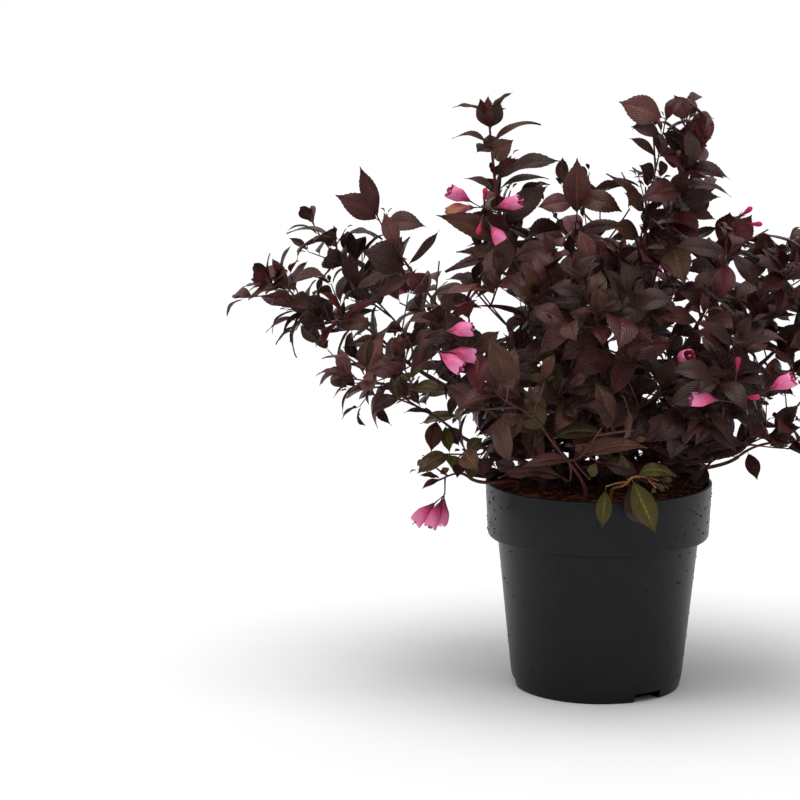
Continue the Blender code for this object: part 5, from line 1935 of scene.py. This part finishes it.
# %% Build the blossom
blossom = Bag()
for name, found in flowers.items():
    for order, flower in enumerate(found):
        rng = chance(name, "flower", order)
        add_stalks(blossom, flower)
        add_calyx(blossom, flower, rng)
        if flower.kind == "bud":
            add_bud(blossom, flower)
        else:
            add_funnel(blossom, flower, rng)
            add_pistil(blossom, flower, rng)
    for start, end in truss_stalks[name]:
        points = [start, start.lerp(end, 0.5), end]
        blossom.add(*tube(points, [0.0010, 0.0008, 0.0007], 7), BLOSSOM_FINISHES.index(SEPAL))
blossom_made = blossom.make("blossom", BLOSSOM_FINISHES)
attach(blossom_made, "root")
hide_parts(*[name for name in MASSES if flowers[name]])

# %% [markdown]
# ## The pot
#
# The pot is blow-moulded black plastic with a deep collar, a rounded shoulder below it, and three
# drainage notches in its foot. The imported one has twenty-eight sides, which would show on its rim.
# The same section is turned here with many sides and rounded corners, the notches are cut by
# Booleans, and a slight waviness keeps the wall from looking machined.

# %% Round the corners of a section
POT_TURNS = 160
CORNER_STEPS = 4


def solid(name, corners, faces):
    """A new object from corners and faces."""
    mesh = bpy.data.meshes.new(name)
    mesh.from_pydata(corners, [], faces)
    return linked(name, mesh)


def on_circle(turn, turns):
    """Cosine and sine of one of `turns` equal steps round a circle."""
    angle = 2 * math.pi * turn / turns
    return math.cos(angle), math.sin(angle)


def rounded_section(section):
    """A section's (radius, height, rounding) corners with each one turned into an arc."""
    points = []
    for order, (radius, height, rounding) in enumerate(section):
        corner = Vector((radius, height))
        if not rounding:
            points.append(corner)
            continue
        before = Vector(section[order - 1][:2]) - corner
        after = Vector(section[order + 1][:2]) - corner
        reach = min(rounding, before.length * 0.45, after.length * 0.45)
        start, end = corner + before.normalized() * reach, corner + after.normalized() * reach
        for step in range(CORNER_STEPS + 1):
            share = step / CORNER_STEPS
            points.append(start.lerp(corner, share).lerp(corner.lerp(end, share), share))
    return points


def turned_mesh(name, section, turns, wave=0.0):
    """A closed solid turned from a section that starts and ends on the axis."""
    section = rounded_section(section)
    rings = section[1:-1]
    corners = []
    for point in rings:
        for turn in range(turns):
            way = Vector((*on_circle(turn, turns), 0))
            bulge = wave * noise.noise(way * 2.1 + UP * point.y * 14) if wave else 0
            corners.append(way * (point.x + bulge) + UP * point.y)
    corners += [Vector((0, 0, section[0].y)), Vector((0, 0, section[-1].y))]
    first, last = len(corners) - 2, len(corners) - 1
    base = (len(rings) - 1) * turns
    faces = grid_faces(len(rings), turns, True)[:, ::-1].tolist()
    for turn in range(turns):
        beside = (turn + 1) % turns
        faces.append((first, turn, beside))
        faces.append((last, base + beside, base + turn))
    return solid(name, corners, faces)

# %% Cut one shape from another
def cut_out(target, cutter):
    """Takes the cutter's shape out of the target for good, and removes the cutter."""
    boolean = target.modifiers.new("cut", "BOOLEAN")
    boolean.operation = "DIFFERENCE"
    boolean.object = cutter
    boolean.solver = "EXACT"
    graph = bpy.context.evaluated_depsgraph_get()
    mesh = bpy.data.meshes.new_from_object(target.evaluated_get(graph))
    target.modifiers.clear()
    target.data = mesh
    bpy.data.objects.remove(cutter)


def notch_block(heading, inner, width, height):
    """A block that reaches out through the foot of the pot at a heading."""
    outer = BASE_RADIUS + 0.01
    corners = []
    for radius in (inner, outer):
        for side in (-width / 2, width / 2):
            for level in (-0.01, height):
                corners.append((radius, side, level))
    faces = [(0, 1, 3, 2), (4, 6, 7, 5), (0, 4, 5, 1), (2, 3, 7, 6), (0, 2, 6, 4), (1, 5, 7, 3)]
    block = solid("block", corners, faces)
    block.rotation_euler = (0, 0, math.radians(heading))
    return block

# %% Turn the pot and cut its notches
LEDGE_DROP = 0.0022
collar_foot = POT_HEIGHT - COLLAR_DROP - STEP_DROP / 2
body_top = collar_foot - LEDGE_DROP
OUTSIDE = [
    (0, POT_HEIGHT, 0),
    (RIM_RADIUS, POT_HEIGHT, 0.0009),
    (COLLAR_FOOT_RADIUS, collar_foot, 0.0030),
    (BODY_RADIUS, body_top, 0.0010),
    (BASE_RADIUS, FOOT_RISE, 0.004),
    (FOOT_RADIUS, 0, 0.0015),
    (0, 0, 0),
]
INSIDE = [
    (0, POT_HEIGHT + 0.01, 0),
    (RIM_RADIUS - WALL, POT_HEIGHT + 0.01, 0),
    (COLLAR_FOOT_RADIUS - WALL, collar_foot + WALL, 0.0030),
    (BODY_RADIUS - WALL, body_top + WALL, 0.0010),
    (BASE_RADIUS - WALL, FOOT_RISE, 0.004),
    (FOOT_RADIUS - WALL, FLOOR, 0.0015),
    (0, FLOOR, 0),
]
POT_WAVE = 0.0005
pot = turned_mesh("pot_shell", OUTSIDE, POT_TURNS, POT_WAVE)
cavity = turned_mesh("cavity", INSIDE, POT_TURNS, POT_WAVE)
notch_inner = FOOT_RADIUS - NOTCH_DEPTH
for heading in NOTCH_HEADINGS:
    hood = notch_block(heading, notch_inner - WALL, NOTCH_WIDTH + 2 * WALL, NOTCH_HEIGHT + WALL)
    cut_out(cavity, hood)
cut_out(pot, cavity)
for heading in NOTCH_HEADINGS:
    cut_out(pot, notch_block(heading, notch_inner, NOTCH_WIDTH, NOTCH_HEIGHT))
pot.data.shade_smooth()
pot.data.set_sharp_from_angle(angle=math.radians(32))
print("Pot faces:", len(pot.data.polygons))

# %% The plastic of the pot
plastic = rough_finish("black plastic", PLASTIC, (0.0034, 0.0030, 0.0050), (0.0068, 0.0062, 0.0082), 0.38)
pot.data.materials.clear()
pot.data.materials.append(plastic)
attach(pot, "root")
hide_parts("pot")

# %% [markdown]
# ## Splashes on the pot
#
# The plant has just been watered, and the pot is flecked with dark drops and grains of compost,
# most of them on its collar. They could be spots of colour, but a small flattened dome that stands
# off the wall also shows on the outline and catches its own light.

# %% Build the flecks
FLECK_COUNT = 620
FLECK_RADII = (0.0004, 0.0014)
FLECK_TURNS = 8


def wall_radius(height):
    """The radius of the pot's outside at a height."""
    profile = [(part[1], part[0]) for part in reversed(OUTSIDE[1:-1])]
    return float(np.interp(height, *zip(*profile)))


flecks = Bag()
rng = chance("flecks")
for _ in range(FLECK_COUNT):
    if rng.random() < 0.6:
        height = rng.uniform(collar_foot + 0.004, POT_HEIGHT - 0.003)
    else:
        height = body_top * rng.random() ** 0.7 + 0.004
    # They crowd on two sides, where the water ran over the rim.
    angle = math.radians(rng.choice((205, 205, 338, 90)) + rng.gauss(0, 34))
    way = Vector((math.cos(angle), math.sin(angle), 0))
    side = UP.cross(way)
    size = rng.uniform(*FLECK_RADII) * rng.uniform(0.5, 1)
    tall = size * rng.uniform(0.9, 1.5)
    foot = way * (wall_radius(height) - 0.0002) + UP * height
    rings = []
    for rise, spread in ((0, 1), (0.45, 0.82), (0.75, 0.4)):
        for turn in range(FLECK_TURNS):
            sideways, upward = on_circle(turn, FLECK_TURNS)
            across = side * size * sideways + UP * tall * upward
            rings.append(foot + across * spread + way * size * rise)
    flecks.add(rings, closed_faces(3, FLECK_TURNS))
WET = (0.0015, 0.001, 0.001), (0.006, 0.003, 0.002), 90
wet = plain_finish("wet fleck", *WET, Roughness=0.45, Specular_IOR_Level=0.25)
flecks_made = flecks.make("pot_flecks", [wet])
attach(flecks_made, "root")

# %% [markdown]
# ## The compost
#
# The pot is filled nearly to its rim with dark compost under a mulch of shredded bark. A flat disc
# with a bump would look printed. The top is a fine grid that noise lifts into crumbs, and several
# hundred separate shreds of bark lie on it.

# %% The compost with its crumbs
CRUMB_HEIGHT = 0.0032
SOIL_RINGS = 64
SOIL_TURNS = 180
SOIL_LEVEL = SOIL_TOP - 0.0022


def soil_height(x, y):
    """The height of the compost's crumbly top."""
    place = Vector((x, y, 0))
    coarse = noise.fractal(place * 75, 0.9, 2.1, 3)
    fine = noise.fractal(place * 330, 0.8, 2.0, 2)
    return SOIL_LEVEL + CRUMB_HEIGHT * (0.42 * coarse + 0.24 * fine)


inner_top = RIM_RADIUS - WALL - 0.0006
corners = []
for ring in range(1, SOIL_RINGS + 1):
    radius = inner_top * (ring / SOIL_RINGS) ** 0.8
    for turn in range(SOIL_TURNS):
        x, y = on_circle(turn, SOIL_TURNS)
        corners.append((radius * x, radius * y, soil_height(radius * x, radius * y)))
# Below its top it follows the inside of the pot, and stays clear of the hoods of the notches.
FILLED = (
    (COLLAR_FOOT_RADIUS, collar_foot + WALL),
    (BODY_RADIUS, body_top + WALL),
    (BASE_RADIUS, FOOT_RISE),
)
for radius, height in FILLED:
    inside = radius - WALL - 0.0006
    if height == FOOT_RISE:
        inside -= NOTCH_DEPTH
    for turn in range(SOIL_TURNS):
        x, y = on_circle(turn, SOIL_TURNS)
        corners.append((inside * x, inside * y, height + GAP + WALL))
rows = SOIL_RINGS + len(FILLED)
corners += [(0, 0, soil_height(0, 0)), (0, 0, FOOT_RISE + WALL + GAP)]
top, bottom = len(corners) - 2, len(corners) - 1
turns = np.arange(SOIL_TURNS)
beside = (turns + 1) % SOIL_TURNS
last = (rows - 1) * SOIL_TURNS
fans = [
    np.stack([np.full(SOIL_TURNS, top), turns, beside], axis=-1),
    np.stack([np.full(SOIL_TURNS, bottom), last + beside, last + turns], axis=-1),
]
compost = Bag()
compost.add(corners, [grid_faces(rows, SOIL_TURNS, True)[:, ::-1], *fans])

PEAT = rough_finish("peat", EARTH, (0.050, 0.018, 0.010), (0.200, 0.058, 0.026), 0.80)
compost_made = compost.make("compost", [PEAT])
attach(compost_made, "root")
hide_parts("soil")

# %% Shreds of bark on the compost
SHRED_COUNT = 1400
SHRED_LENGTHS = (0.004, 0.015)
SHRED_FINISHES = [
    rough_finish("rust shred", EARTH, (0.430, 0.105, 0.042), (0.200, 0.045, 0.020), 0.75),
    rough_finish("brown shred", EARTH, (0.260, 0.075, 0.036), (0.100, 0.032, 0.018), 0.80),
    rough_finish("dark shred", EARTH, (0.090, 0.032, 0.020), (0.036, 0.014, 0.010), 0.85),
    rough_finish("pale shred", EARTH, (0.560, 0.260, 0.115), (0.300, 0.110, 0.048), 0.75),
]
SHRED_CHANCES = (0, 0, 0, 1, 1, 1, 2, 2, 2, 3)
shreds = Bag()
rng = chance("shreds")
for _ in range(SHRED_COUNT):
    radius = (inner_top - 0.003) * math.sqrt(rng.random())
    angle = rng.uniform(0, 2 * math.pi)
    x, y = radius * math.cos(angle), radius * math.sin(angle)
    length = rng.uniform(*SHRED_LENGTHS) * rng.uniform(0.5, 1)
    width = length * rng.uniform(0.12, 0.38)
    thick = width * rng.uniform(0.25, 0.6)
    heading = rng.uniform(0, 2 * math.pi)
    if radius + length / 2 > inner_top - 0.001:
        heading = angle + math.pi / 2
    way = Vector((math.cos(heading), math.sin(heading), rng.uniform(-0.28, 0.28))).normalized()
    side = square_to(way, UP.cross(way) + UP * rng.uniform(-0.5, 0.5))
    rise = way.cross(side)
    middle = Vector((x, y, soil_height(x, y) + thick * 0.4))
    ring = []
    for step in range(4):
        share = step / 3
        taper = 1 - 0.55 * abs(2 * share - 1) ** 1.5 * rng.uniform(0.7, 1.2)
        place = middle + way * length * (share - 0.5) + rise * length * rng.uniform(-0.05, 0.05)
        for across, up in ((-1, -0.5), (1, -0.6), (0.85, 0.5), (-0.9, 0.45)):
            jitter = rng.uniform(0.75, 1.2)
            ring.append(place + side * across * width / 2 * taper * jitter + rise * up * thick * taper)
    shreds.add(ring, closed_faces(4, 4), rng.choice(SHRED_CHANCES))
shreds_made = shreds.make("mulch_shreds", SHRED_FINISHES)
shreds_made.data.set_sharp_from_angle(angle=math.radians(30))
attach(shreds_made, "root")

# %% [markdown]
# ## Floor and light
#
# The part stands on a plain pale floor in soft light from above. Lamps alone would leave a dark,
# matt shrub black. It needs a large bright sky to give its leaves their grey sheen, and a weaker
# front, or the black pot would look grey. So the world is brighter overhead and behind.

# %% The floor
bpy.ops.mesh.primitive_circle_add(vertices=96, radius=14, fill_type="NGON")
floor = bpy.context.object
floor.name = "floor"
GREYS = (0.88, 0.88, 0.88), (0.87, 0.87, 0.87)
pale = plain_finish("pale floor", *GREYS, 3, Roughness=0.9, Specular_IOR_Level=0.1)
floor.data.materials.append(pale)

# %% The light
FRONT_LIGHT = 0.15
BEHIND_LIGHT = 0.55
ABOVE_LIGHT = 0.26
world = bpy.data.worlds.new("studio")
bpy.context.scene.world = world
world.use_nodes = True
sky = world.node_tree
background = sky.nodes["Background"]
way = put(sky, "TexCoord").outputs["Generated"]
split = put(sky, "SeparateXYZ", {0: way})
depth, height = split.outputs[1], split.outputs[2]
values = {1: -0.9, 2: 0.5, 3: FRONT_LIGHT, 4: BEHIND_LIGHT}
behind = put(sky, "MapRange", {0: depth}, values).outputs[0]
above = put(sky, "MapRange", {0: height}, {1: 0, 2: 0.8, 3: 0, 4: ABOVE_LIGHT}).outputs[0]
strength = maths(sky, "ADD", behind, above)
seen = put(sky, "LightPath").outputs["Is Camera Ray"]
lit = blend(sky, seen, (0.97, 0.98, 1.0, 1), (1, 1, 1, 1))
shown = put(sky, "Mix", {0: seen, 2: strength}, {3: 1.0}).outputs[0]
sky.links.new(lit, background.inputs["Color"])
sky.links.new(shown, background.inputs["Strength"])


def add_sun(name, strength, softness, tilt, heading):
    """A broad soft lamp that leans by `tilt` towards a heading, in degrees."""
    data = bpy.data.lights.new(name, "SUN")
    data.energy = strength
    data.angle = math.radians(softness)
    lamp = linked(name, data)
    lamp.rotation_euler = (math.radians(tilt), 0, math.radians(heading))


add_sun("overhead", 1.82, 50, 10, 0)
add_sun("left side", 0.34, 30, 50, -70)
bpy.context.scene.view_settings.view_transform = "Standard"
